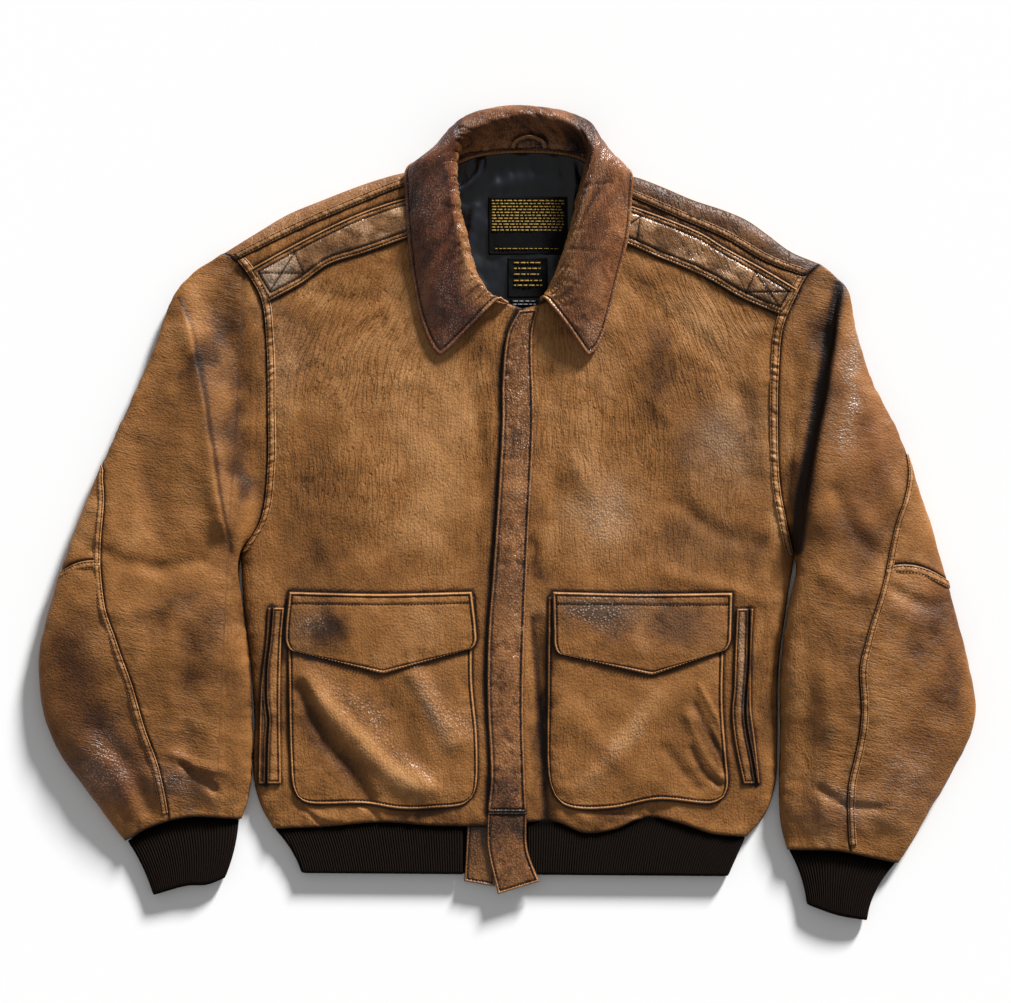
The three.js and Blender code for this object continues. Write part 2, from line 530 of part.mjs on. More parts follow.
// Place along the sleeve, and angle, at which its surface passes a point of the plane
function sleevePlace(edges, [x, y]) {
  let best = { miss: Infinity };
  for (const s of evenly(100)) {
    for (const angle of evenly(120, 0, Math.PI)) {
      const p = patch(edges, (1 - Math.cos(angle)) / 2, 1 - s);
      const miss = Math.hypot(p.x - x, p.y - y);
      if (miss < best.miss) best = { miss, s, angle };
    }
  }
  return best;
}

function sleevePieces(name, outline, armhole, outerIsLeft) {
  const [left, right] = outerIsLeft ? [outline.outer, outline.inner] : [outline.inner, outline.outer];
  const edges = {
    bottom: through(outline.end),
    top: armhole,
    left: backwards(outerIsLeft ? through(left) : eased(through(left))),
    right: backwards(outerIsLeft ? eased(through(right)) : through(right)),
  };
  const seam = outline.seam.map((point) => sleevePlace(edges, point));
  const outerAngle = outerIsLeft ? 0 : Math.PI;
  const seamStops = [[0, outerAngle],
    [seam[0].s - 0.05, outerAngle], ...seam.map(({ s, angle }) => [s, angle])];
  const seamPath = pathY(through(seamStops));
  const seamAngle = (s) => THREE.MathUtils.clamp(seamPath(s), 0, Math.PI);
  const [elbowOuter, elbowInner] = outline.elbow.map((point) => sleevePlace(edges, point).s);

  const topSpan = (s) => (outerIsLeft ? [seamAngle(s), Math.PI] : [0, seamAngle(s)]);
  const underSpan = (s) => (
    outerIsLeft ? [Math.PI, 2 * Math.PI + seamAngle(s)] : [seamAngle(s), 2 * Math.PI]);
  // Part of the under sleeve's width, from the outer edge, that shows on top at the elbow
  const seenShare = outerIsLeft
    ? seamAngle(elbowOuter) / (Math.PI + seamAngle(elbowOuter))
    : 1 - Math.PI / (2 * Math.PI - seamAngle(elbowOuter));
  const elbowAt = (w) => {
    const fromSeam = outerIsLeft ? 1 - w : w;
    return along([[0, elbowInner], [seenShare, elbowOuter], [1, elbowOuter]], fromSeam);
  };
  const across = (span, s, w) => THREE.MathUtils.lerp(span(s)[0], span(s)[1], w);
  // Angle and place of each point of a panel between two lines round the sleeve. Rows run down
  // the sleeve here, so the outer face is got by turning each row round.
  const places = (span, from, to, columns, rows) => gridOf((w, r) => {
    const s = THREE.MathUtils.lerp(from(w), to(w), r);
    return [across(span, s, w), s];
  }, evenly(columns), rows).map((row) => [...row].reverse());
  const sewn = (spots) => panel(
    spots.map((row) => row.map(([angle, s]) => sleevePoint(edges, angle, s))), LEATHER, SLEEVE_TRIM,
    spots.map((row) => row.map(([angle, s]) => sleeveNormal(edges, angle, s))));
  const [start, elbow, end] = [() => 0, () => elbowInner, () => 1];

  addPiece(`${name}_top`, sewn([...places(topSpan, start, elbow, 12, evenly(8)),
    ...places(topSpan, elbow, end, 12, evenly(6)).slice(1)]), TAN);
  addPiece(`${name}_upper`, sewn(places(underSpan, start, elbowAt, 11, evenly(8))), TAN);
  addPiece(`${name}_lower`, sewn(places(underSpan, elbowAt, end, 11, evenly(6))), TAN);
}

sleevePieces("sleeve_left", LEFT_SLEEVE, leftArmhole, true);
sleevePieces("sleeve_right", RIGHT_SLEEVE, backwards(rightArmhole), false);

// Rib knit

// A ring of a flattened tube between its top edge and its end
function cuffGrid({ top, end }, height) {
  const [topEdge, endEdge] = [through(top), through(end)];
  const ring = evenly(20, 0, 2 * Math.PI).slice(0, -1);
  return gridOf((angle, v) => {
    const t = (1 - Math.cos(angle)) / 2;
    const p = endEdge(t).lerp(topEdge(t), v);
    const dome = Math.abs(Math.sin(angle)) ** 0.5;
    p.z = (height / 2) * (1 + Math.sign(Math.sin(angle)) * dome);
    return p;
  }, ring, [0, 1]);
}

function cuff(grid) {
  const ringNormals = normalsOf(grid.map((row) => [row[row.length - 1], ...row, row[0]]))
    .map((row) => row.slice(1, -1));
  return wall(grid, movedOut(grid, ringNormals, -KNIT), true);
}

addPiece("cuff_left", cuff(cuffGrid(LEFT_CUFF, CUFF_HEIGHT)), KNIT_BROWN);
addPiece("cuff_right", cuff(cuffGrid(RIGHT_CUFF, CUFF_HEIGHT)), KNIT_BROWN);

// The waistband runs from its left front end round the back to its right front end
function waistbandGrid() {
  const frontY = { left: pathY(through(LEFT_HEM)), right: pathY(through(RIGHT_HEM)) };
  const backY = pathY(through(BACK_HEM));
  const round = WAISTBAND_HEIGHT / 2;
  const turns = evenly(4, Math.PI / 2, 1.5 * Math.PI);
  const [leftBottom, rightBottom] = [WAISTBAND.leftBottom, WAISTBAND.rightBottom];
  const slope = (rightBottom[1] - leftBottom[1]) / (rightBottom[0] - leftBottom[0]);
  const topY = (x, z) => {
    if (z < round) return backY(x);
    const tuck = THREE.MathUtils.smoothstep(Math.min(x - LEFT_HEM_END[0], RIGHT_HEM_END[0] - x), 8, 26);
    return (x < HEM_MEETING[0] ? frontY.left(x) : frontY.right(x)) + HEM_OVERLAP * tuck;
  };
  return [0, 1].map((v) => {
    const left = THREE.MathUtils.lerp(LEFT_HEM_END[0] + 2, leftBottom[0], v) + round;
    const right = THREE.MathUtils.lerp(RIGHT_HEM_END[0] - 2, rightBottom[0], v) - round;
    const section = [
      ...evenly(9, WAISTBAND.leftEnd, left).slice(0, -1).map((x) => [x, WAISTBAND_HEIGHT]),
      ...turns.map((a) => [left + round * Math.cos(a), round * (1 + Math.sin(a))]),
      ...evenly(9, left, right).slice(1, -1).map((x) => [x, 0]),
      ...turns.map((a) => [right - round * Math.cos(a), round * (1 - Math.sin(a))]),
      ...evenly(10, right, WAISTBAND.rightEnd).slice(1).map((x) => [x, WAISTBAND_HEIGHT]),
    ];
    return section.map(([x, z]) => {
      const bottom = leftBottom[1] + slope * (x - leftBottom[0]);
      return new THREE.Vector3(x, THREE.MathUtils.lerp(topY(x, z) - 3 * SEAM_GAP, bottom, v), z);
    });
  });
}

const waistband = waistbandGrid();
addPiece("waistband", wall(waistband, movedOut(waistband, normalsOf(waistband), -KNIT)), KNIT_BROWN);

// Wind flap and tabs

function flapHeight(x, y) {
  const high = bodyTop(x, y) + FLAP_LIFT + LEATHER;
  return THREE.MathUtils.lerp(high, TAB_HEIGHT, THREE.MathUtils.smoothstep(-y, 284, 324));
}

function strip(leftEdge, rightEdge, height, columns, rows) {
  const left = backwards(through(leftEdge));
  const right = backwards(through(rightEdge));
  return gridOf((u, v) => {
    const p = left(v).lerp(right(v), u);
    p.z = height(p.x, p.y);
    return p;
  }, evenly(columns), evenly(rows));
}

addPiece("wind_flap", panel(strip(FLAP_LEFT, FLAP_RIGHT, flapHeight, 3, 16), LEATHER), DARK_TAN);
addPiece("wind_flap_tab", panel(strip(TAB_LEFT, TAB_RIGHT, flapHeight, 3, 5), LEATHER), DARK_TAN);
const underTab = strip(UNDER_TAB_LEFT, UNDER_TAB_RIGHT, () => UNDER_TAB_HEIGHT, 2, 3);
addPiece("under_tab", panel(underTab, LEATHER), DARK_TAN);

// Pockets, flaps, welts and straps lie on the fronts

addPiece("pocket_left", layerOn(leftFrontGrid, POCKET_LEFT, SEAM_GAP, LEATHER), TAN);
addPiece("pocket_right", layerOn(rightFrontGrid, POCKET_RIGHT, SEAM_GAP, LEATHER), TAN);
const onPocket = 2 * SEAM_GAP + LEATHER;
addPiece("pocket_flap_left", layerOn(leftFrontGrid, POCKET_FLAP_LEFT, onPocket, LEATHER), DARK_TAN);
addPiece("pocket_flap_right", layerOn(rightFrontGrid, POCKET_FLAP_RIGHT, onPocket, LEATHER), DARK_TAN);
addPiece("welt_left_outer", layerOn(leftFrontGrid, WELT_LEFT_OUTER, SEAM_GAP, LEATHER), TAN);
addPiece("welt_left_inner", layerOn(leftFrontGrid, WELT_LEFT_INNER, SEAM_GAP, LEATHER), TAN);
addPiece("welt_right_outer", layerOn(rightFrontGrid, WELT_RIGHT_OUTER, SEAM_GAP, LEATHER), TAN);
addPiece("welt_right_inner", layerOn(rightFrontGrid, WELT_RIGHT_INNER, SEAM_GAP, LEATHER), TAN);
addPiece("strap_left", layerOn(leftFrontGrid, STRAP_LEFT, SEAM_GAP, LEATHER), DARK_TAN);
addPiece("strap_right", layerOn(rightFrontGrid, STRAP_RIGHT, SEAM_GAP, LEATHER), DARK_TAN);

// Lining and labels lie on the back's inner face

const insideLayer = (outline, lift, thickness) => (
  layerOn(backOuter, outline, -(LEATHER + lift + thickness), thickness));
addPiece("lining", insideLayer(LINING, SEAM_GAP, SATIN), SATIN_BLACK);
const onLining = 2 * SEAM_GAP + SATIN;
addPiece("label_main", insideLayer(LABEL_MAIN, onLining, TAPE), TAPE_BLACK);
addPiece("label_size", insideLayer(LABEL_SIZE, onLining, TAPE), TAPE_BLACK);
addPiece("label_care", insideLayer(LABEL_CARE, onLining, TAPE), TAPE_BLACK);

// Collar

function collarGrid(steps) {
  const lines = COLLAR_SECTIONS[0].map((_, k) => new THREE.CatmullRomCurve3(
    COLLAR_SECTIONS.map((section) => new THREE.Vector3(...section[k])), false, "centripetal"));
  return evenly(steps).map((t) => {
    const section = new THREE.CatmullRomCurve3(lines.map((line) => line.getPoint(t)), false, "centripetal");
    return evenly(7).map((w) => section.getPoint(w)).map((p) => p.setZ(Math.max(p.z, 0)));
  });
}

// Rows run round the neck and columns from the seam to the edge, so each row is turned round
const collar = collarGrid(26).map((row) => [...row].reverse());
addPiece("collar", wall(collar, movedOut(collar, normalsOf(collar), -LEATHER)), RED_BROWN);

const loopSection = new THREE.Shape([[-0.5, -0.5], [0.5, -0.5], [0.5, 0.5], [-0.5, 0.5]].map(
  ([x, y]) => new THREE.Vector2(x * LOOP_THICKNESS, y * LOOP_WIDTH)));
const loopPoints = LOOP_PATH.map((p) => new THREE.Vector3(...p));
addPiece("hanger_loop", new THREE.ExtrudeGeometry(loopSection, {
  steps: 14,
  extrudePath: new THREE.CatmullRomCurve3(loopPoints, false, "centripetal"),
}), TAN);

export default jacket;
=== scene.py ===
# %% [markdown]
# # A worn leather jacket, laid flat
#
# The jacket lies on its back on a white surface and is looked down on from straight above. The
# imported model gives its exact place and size. Here each cut piece is made again as a fine
# surface with its folds, seams and stitches, and gets its leather, knit or satin.
#
# Every length below is in millimetres and is turned to metres only when a mesh is made.
# Left and right are those of the picture.

import bpy
import numpy as np
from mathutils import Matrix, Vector


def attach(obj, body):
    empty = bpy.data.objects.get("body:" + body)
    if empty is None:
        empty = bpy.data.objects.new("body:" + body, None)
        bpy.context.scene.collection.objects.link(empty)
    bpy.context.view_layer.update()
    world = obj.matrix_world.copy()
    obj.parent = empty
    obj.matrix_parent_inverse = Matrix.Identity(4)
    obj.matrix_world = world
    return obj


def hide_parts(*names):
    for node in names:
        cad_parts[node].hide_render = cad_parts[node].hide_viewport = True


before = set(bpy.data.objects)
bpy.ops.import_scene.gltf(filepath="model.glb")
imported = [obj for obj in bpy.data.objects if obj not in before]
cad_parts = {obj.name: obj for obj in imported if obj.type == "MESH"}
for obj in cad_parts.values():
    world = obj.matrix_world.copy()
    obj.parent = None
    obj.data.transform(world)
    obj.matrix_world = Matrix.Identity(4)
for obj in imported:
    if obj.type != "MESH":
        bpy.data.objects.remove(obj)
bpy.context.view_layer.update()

MM = 0.001
print("packed nodes:", len(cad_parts))

# %% [markdown]
# ## Camera and light
#
# The picture was taken from straight above with a long lens, so a camera on a high axis looks
# down -Z and nothing leans. The light is one soft lamp low at the upper right: it throws the
# shadow to the lower left and rakes over the folds. A pale sky fills the shadows.

# %% Camera, floor, lamp and sky
PIXEL = 0.95  # size of one picture element on the jacket
VIEW_CENTRE = (-1.9, 10.9)
IMAGE_WIDTH = 1011
LENS, SENSOR = 110.0, 36.0
FOCUS_HEIGHT = 10.0  # the height at which one picture element is that size
SUN_HEIGHT, SUN_FROM = np.radians(16.5), np.radians(62)  # above the floor, and round from +X
SUN_WIDTH = np.radians(9)
SUN_ON_FLOOR, SKY = 0.77, 0.30  # how much light each gives a white floor

camera = bpy.data.objects.new("camera", bpy.data.cameras.new("camera"))
camera.data.lens = LENS
camera.data.sensor_width = SENSOR
camera.data.clip_end = 50
height = IMAGE_WIDTH * PIXEL * MM * LENS / SENSOR
camera.location = (VIEW_CENTRE[0] * MM, VIEW_CENTRE[1] * MM, height + FOCUS_HEIGHT * MM)
bpy.context.scene.collection.objects.link(camera)
bpy.context.scene.camera = camera

bpy.context.scene.view_settings.view_transform = "Standard"

lamp = bpy.data.objects.new("window", bpy.data.lights.new("window", "SUN"))
lamp.data.energy = SUN_ON_FLOOR * np.pi / np.sin(SUN_HEIGHT)
lamp.data.angle = SUN_WIDTH
towards = np.array([np.cos(SUN_HEIGHT) * np.cos(SUN_FROM), np.cos(SUN_HEIGHT) * np.sin(SUN_FROM),
                    np.sin(SUN_HEIGHT)])
lamp.rotation_euler = Vector(towards).to_track_quat("Z", "Y").to_euler()
bpy.context.scene.collection.objects.link(lamp)

sky = bpy.data.worlds.new("sky")
sky.use_nodes = True
sky.node_tree.nodes["Background"].inputs["Color"].default_value = (1, 1, 1, 1)
sky.node_tree.nodes["Background"].inputs["Strength"].default_value = SKY
bpy.context.scene.world = sky
print("camera height", round(height, 3), "m")

# %% [markdown]
# ## Curves and surfaces
#
# A pattern maker draws a seam through a few points and lets the pencil bend. The same is done
# here: a smooth curve runs through a few points, and a panel is the surface that four such
# curves span. All of it is worked out as whole arrays.

# %% Curves
SPAN_STEPS, PATH_STEPS = 40, 400  # short steps between two points of a curve, and along a whole path


def run_of(chain):
    """How far along a chain of points each of them is."""
    return np.append(0, np.cumsum(np.linalg.norm(np.diff(chain, axis=0), axis=1)))


def unit(vectors):
    return vectors / np.maximum(np.linalg.norm(vectors, axis=-1, keepdims=True), 1e-9)


def bell(distance, width):
    """A bell curve: 1 where the distance is 0, and 0.37 at the width."""
    return np.exp(-((distance / width) ** 2))


def smooth_path(points):
    """A centripetal Catmull-Rom curve through the points, as a function of 0 to 1 by length."""
    p = np.array(points, float)
    p = np.vstack([2 * p[0] - p[1], p, 2 * p[-1] - p[-2]])
    w = np.linspace(0, 1, SPAN_STEPS, endpoint=False)[:, None]
    spans = []
    for a, b, c, d in zip(p[:-3], p[1:-2], p[2:-1], p[3:]):
        before, here, after = (np.linalg.norm(step) ** 0.5 for step in (b - a, c - b, d - c))
        leave = ((b - a) / before - (c - a) / (before + here) + (c - b) / here) * here
        arrive = ((c - b) / here - (d - b) / (here + after) + (d - c) / after) * here
        spans.append(b + leave * w + (3 * (c - b) - 2 * leave - arrive) * w**2
                     + (2 * (b - c) + leave + arrive) * w**3)
    chain = np.vstack(spans + [p[-2][None]])
    run = run_of(chain)
    run = run / run[-1]
    return lambda t: np.stack([np.interp(t, run, axis) for axis in chain.T], -1)


def backwards(path):
    return lambda t: path(1 - np.asarray(t))


def stretch(path, start, end):
    return lambda t: path(start + (end - start) * np.asarray(t))


def joined(first, second, share):
    """Two paths end to end, with a corner where they meet at that share of the whole."""
    def path(t):
        t = np.asarray(t, float)
        return np.where((t <= share)[..., None], first(t / share), second((t - share) / (1 - share)))
    return path


def place_on(path, point):
    """How far along a path it passes nearest to a point."""
    t = np.linspace(0, 1, PATH_STEPS + 1)
    return t[np.argmin(np.linalg.norm(path(t) - point, axis=-1))]


def path_height(path):
    """The second coordinate of a path at a given first one, for a path that never turns back."""
    chain = path(np.linspace(0, 1, PATH_STEPS // 2 + 1))
    return lambda x: np.interp(x, chain[:, 0], chain[:, 1])


def smoothstep(x, low, high):
    t = np.clip((x - low) / (high - low), 0, 1)
    return t * t * (3 - 2 * t)


def along(stops, place):
    """A value that moves smoothly between stops: the first value plus an eased step to each next."""
    value = np.full(np.shape(place), float(stops[0][1]))
    for (start, a), (end, b) in zip(stops[:-1], stops[1:]):
        value = value + (b - a) * smoothstep(place, start, end)
    return value


def distance_to(chain, x, y):
    """Shortest distance from each point of the plane to a chain of points."""
    least = np.full(np.shape(x), np.inf)
    for (ax, ay), (bx, by) in zip(chain[:-1], chain[1:]):
        dx, dy = bx - ax, by - ay
        t = np.clip(((x - ax) * dx + (y - ay) * dy) / max(dx * dx + dy * dy, 1e-9), 0, 1)
        least = np.minimum(least, np.hypot(x - ax - t * dx, y - ay - t * dy))
    return least


def patch(edges, u, v):
    """The surface between four curves: bottom and top blended by v, plus left and right blended
    by u, less the four corners that both blends counted."""
    bottom, top, left, right = (edges[side] for side in ("bottom", "top", "left", "right"))
    u, v = np.broadcast_arrays(np.asarray(u, float), np.asarray(v, float))
    uu, vv = u[..., None], v[..., None]
    corners = ((1 - uu) * (1 - vv) * bottom(0.0) + uu * (1 - vv) * bottom(1.0)
               + (1 - uu) * vv * top(0.0) + uu * vv * top(1.0))
    return ((1 - vv) * bottom(u) + vv * top(u) + (1 - uu) * left(v) + uu * right(v)) - corners


def bent(points, soften=5.0):
    """Straight runs between the points. Corners are rounded by averaging over a short length."""
    p = np.array(points, float)
    run = run_of(p)
    line = np.stack([np.interp(np.linspace(0, run[-1], PATH_STEPS), run, axis) for axis in p.T], -1)
    reach = max(int(PATH_STEPS * soften / run[-1]), 1)
    before, after = 2 * line[:1] - line[reach:0:-1], 2 * line[-1:] - line[-2:-reach - 2:-1]
    padded = np.concatenate([before, line, after])
    weight = np.hanning(2 * reach + 3)[1:-1] / np.hanning(2 * reach + 3).sum()
    line = np.stack([np.convolve(axis, weight, "valid") for axis in padded.T], -1)
    return lambda t: np.stack([np.interp(t, np.linspace(0, 1, PATH_STEPS), axis) for axis in line.T], -1)


def outline_of(edges, count=24):
    """A chain of points once round four edge curves."""
    t = np.linspace(0, 1, count)
    return np.concatenate([edges["bottom"](t), edges["right"](t), edges["top"](t[::-1]),
                           edges["left"](t[::-1])])


def spaced(count, crowding=0.5):
    """Places from 0 to 1 that lie closer together near both ends."""
    t = np.linspace(0, 1, count)
    return t - crowding * np.sin(2 * np.pi * t) / (2 * np.pi)


# %% [markdown]
# ## Irregular cloth
#
# Leather that was worn for years is never smooth. Its slow swells and its tight creases both
# come from one lattice of random heights that is blended smoothly between its points. The
# lattice has a fixed seed, so each run makes the same jacket.

# %% Swells and creases
LATTICE = np.random.default_rng(7).random((256, 256)) * 2 - 1


def swell(x, y, size, shift=0.0):
    """Random heights, -1 to 1, at lattice points a given size apart, eased between the points."""
    x, y = x / size + shift, y / size + 1.7 * shift
    ix, iy = np.floor(x).astype(int), np.floor(y).astype(int)
    fx, fy = x - ix, y - iy
    fx, fy = fx**3 * (fx * (6 * fx - 15) + 10), fy**3 * (fy * (6 * fy - 15) + 10)
    corner = lambda a, b: LATTICE[(iy + b) % 256, (ix + a) % 256]
    low = corner(0, 0) * (1 - fx) + corner(1, 0) * fx
    high = corner(0, 1) * (1 - fx) + corner(1, 1) * fx
    return low * (1 - fy) + high * fy


def swells(x, y, size, shift=0.0, layers=3):
    """Swells of a size, half that size and so on, each half as high as the one before."""
    return sum(swell(x, y, size / 2**k, shift + 13.1 * k) / 2**k for k in range(layers))


def creases(x, y, size, shift=0.0):
    """Sharp valleys, 0 to -1, where a swell passes through zero."""
    return -(1 - np.minimum(np.abs(swells(x, y, size, shift, 2)) * 2.6, 1)) ** 2


def rounded(distance, width):
    """A quarter round: 0 at an edge, 1 at its width from the edge and beyond."""
    return np.sqrt(1 - (1 - np.clip(distance / width, 0, 1)) ** 2)


def folds(lines, x, y):
    """Sum of ridges and troughs: each falls off from its line as a bell curve."""
    t = np.linspace(0, 1, 14)
    return sum((rise * bell(distance_to(smooth_path(line)(t), x, y), spread)
                for line, rise, spread in lines), np.zeros(np.shape(x)))


# %% [markdown]
# ## From a grid to a piece
#
# Real leather has two faces and a cut edge. Each piece is therefore a closed wall: an outer
# grid of points, an inner one, and a rounded rim that joins them. Each point also carries what
# the leather finish needs to know there: how light or dark, red or ashen and polished it is,
# and which way its creases run.

# %% Meshes
def normals_of(grid):
    """Unit normals: the cross product of the steps along a row and along a column."""
    return unit(np.cross(np.gradient(grid, axis=1), np.gradient(grid, axis=0)))


def grid_distances(grid):
    """How far each point of a grid is from its first row, and from its first column, measured
    along the grid."""
    steps = [np.linalg.norm(np.diff(grid, axis=k), axis=-1) for k in (0, 1)]
    return (np.vstack([np.zeros((1, grid.shape[1])), np.cumsum(steps[0], axis=0)]),
            np.hstack([np.zeros((grid.shape[0], 1)), np.cumsum(steps[1], axis=1)]))


def border_distances(grid):
    """The same from the nearer of its first and last rows, and of its first and last columns."""
    up, over = grid_distances(grid)
    return np.minimum(up, up[-1:] - up), np.minimum(over, over[:, -1:] - over)


def at_height(xy, z):
    """Points of the plane, each with its height."""
    return np.concatenate([xy, np.broadcast_to(z, xy.shape[:-1])[..., None]], -1)


def quads_of(number):
    """The quads of a grid whose points have these numbers."""
    corners = number[:-1, :-1], number[:-1, 1:], number[1:, 1:], number[1:, :-1]
    return np.stack(corners, -1).reshape(-1, 4)


def closed_wall(outer, inner, bulge, ring=False):
    """Points and quads of a wall between two grids. Each rim goes over a middle line that stands
    out by the bulge. In a ring, each row is closed on itself."""
    rows, columns = outer.shape[:2]
    number = np.arange(rows * columns).reshape(rows, columns)
    faces = quads_of(np.hstack([number, number[:, :1]]) if ring else number)
    borders = [number[0], number[-1][::-1]] if ring else [np.concatenate(
        [number[0, :-1], number[:-1, -1], number[-1, :0:-1], number[:0:-1, 0]])]
    top, under = outer.reshape(-1, 3), inner.reshape(-1, 3)
    points, quads, used = [top, under], [faces, faces[:, ::-1] + rows * columns], 2 * rows * columns
    for border in borders:
        a, b = top[border], under[border]
        out = unit(np.cross(np.roll(a, -1, axis=0) - np.roll(a, 1, axis=0), a - b))
        middle = used + np.arange(len(border))
        points.append((a + b) / 2 + bulge * out)
        for p, q in ((border, middle), (middle, border + rows * columns)):
            quads.append(np.stack([np.roll(p, -1), p, q, np.roll(q, -1)], -1))
        used += len(border)
    return np.vstack(points), np.vstack(quads)


def on_wall(value, points, rim):
    """A value of each grid point, given to both faces of a wall, and another for all its rim."""
    flat = np.ravel(value)
    return np.concatenate([flat, flat, np.full(len(points) - 2 * flat.size, rim)])


def make_piece(name, points, quads, finish, looks):
    """A mesh object from points in millimetres and quads. looks holds what its finish reads: for
    each attribute's name, one number or one triple for each point."""
    mesh = bpy.data.meshes.new(name)
    mesh.vertices.add(len(points))
    mesh.vertices.foreach_set("co", (points * MM).astype(np.float32).ravel())
    mesh.loops.add(quads.size)
    mesh.loops.foreach_set("vertex_index", quads.astype(np.int32).ravel())
    mesh.polygons.add(len(quads))
    mesh.polygons.foreach_set("loop_start", np.arange(0, quads.size, 4, dtype=np.int32))
    mesh.polygons.foreach_set("use_smooth", np.ones(len(quads), bool))
    mesh.update(calc_edges=True)
    for attribute, values in looks.items():
        kind, field = ("FLOAT_VECTOR", "vector") if values.ndim == 2 else ("FLOAT", "value")
        made = mesh.attributes.new(attribute, kind, "POINT")
        made.data.foreach_set(field, values.astype(np.float32).ravel())
    mesh.materials.append(finish)
    piece = bpy.data.objects.new(name, mesh)
    bpy.context.scene.collection.objects.link(piece)
    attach(piece, "root")
    return piece


def on_grid(grid, us, vs, u, v):
    """The point of a finished grid at u and v, blended between its four nearest points."""
    i, j = np.interp(v, vs, np.arange(len(vs))), np.interp(u, us, np.arange(len(us)))
    a, b = np.minimum(i.astype(int), len(vs) - 2), np.minimum(j.astype(int), len(us) - 2)
    p, q = (i - a)[:, None], (j - b)[:, None]
    return ((1 - p) * ((1 - q) * grid[a, b] + q * grid[a, b + 1])
            + p * ((1 - q) * grid[a + 1, b] + q * grid[a + 1, b + 1]))


def flat_area(grid):
    """Area of a grid in square metres: half the cross product of each cell's two diagonals."""
    cross = np.cross(grid[1:, 1:] - grid[:-1, :-1], grid[1:, :-1] - grid[:-1, 1:])
    return float(np.linalg.norm(cross, axis=-1).sum() / 2) * MM**2


# %% [markdown]
# ## Finishes
#
# The jacket is aniline-dyed goatskin: a pebbled grain with dye that soaks in unevenly, rubbed
# light on edges, dark where hands and sweat reached it, and polished where it was handled
# most. The knit is matte wool rib and the lining a black satin. Each colour comes from a ramp
# from dark to light, and the marks on the mesh say where on the ramp a point lies. The marks
# also hold painted shade in seams, grooves, folds and under layers, and painted highlights on
# rolled edges, ridges and polished pebble tops.

# %% Colour and node helpers
def colour(code):
    """An sRGB hex colour as linear light."""
    c = np.array([int(code[k:k + 2], 16) for k in (1, 3, 5)]) / 255
    return (*np.where(c <= 0.04045, c / 12.92, ((c + 0.055) / 1.055) ** 2.4), 1.0)


def node(tree, kind, inputs=(), **settings):
    """Adds a node with its settings, and links or sets its inputs."""
    made = tree.nodes.new(kind)
    for name, value in settings.items():
        setattr(made, name, value)
    for socket, value in dict(inputs).items():
        if isinstance(value, bpy.types.NodeSocket):
            tree.links.new(value, made.inputs[socket])
        else:
            made.inputs[socket].default_value = value
    return made


def ramp(tree, value, codes):
    """A colour ramp with evenly spaced stops."""
    made = node(tree, "ShaderNodeValToRGB", {"Fac": value})
    stops = made.color_ramp.elements
    while len(stops) < len(codes):
        stops.new(0.5)
    for k, code in enumerate(codes):
        stops[k].position = k / (len(codes) - 1)
        stops[k].color = colour(code)
    return made.outputs["Color"]


def new_finish(name):
    material = bpy.data.materials.new(name)
    material.use_nodes = True
    tree = material.node_tree
    shader = tree.nodes["Principled BSDF"]
    return material, tree, shader


# %% Leather
PEBBLE = (1.9, 2.2)  # width and length of one pebble of the grain, drawn coarse enough to show
PORE = 0.9
CRINKLE = (2.9, 30.0)  # width and length of a fine crease
BLOTCH = 34.0

TAN = ["#1c0f06", "#4d2f15", "#885a2e", "#af7f50", "#cfa67c"]
RED_BROWN = ["#170905", "#3c1d12", "#643722", "#8a5a3d", "#ab7e5e"]
PEBBLE_SHEEN = "#c9b7ab"  # painted sheen: a pale colour on the pebble tops where the mesh is polished, in place of glints
ASHEN = ["#1b130c", "#3f2f22", "#6b5441", "#927b66", "#b5a08c"]


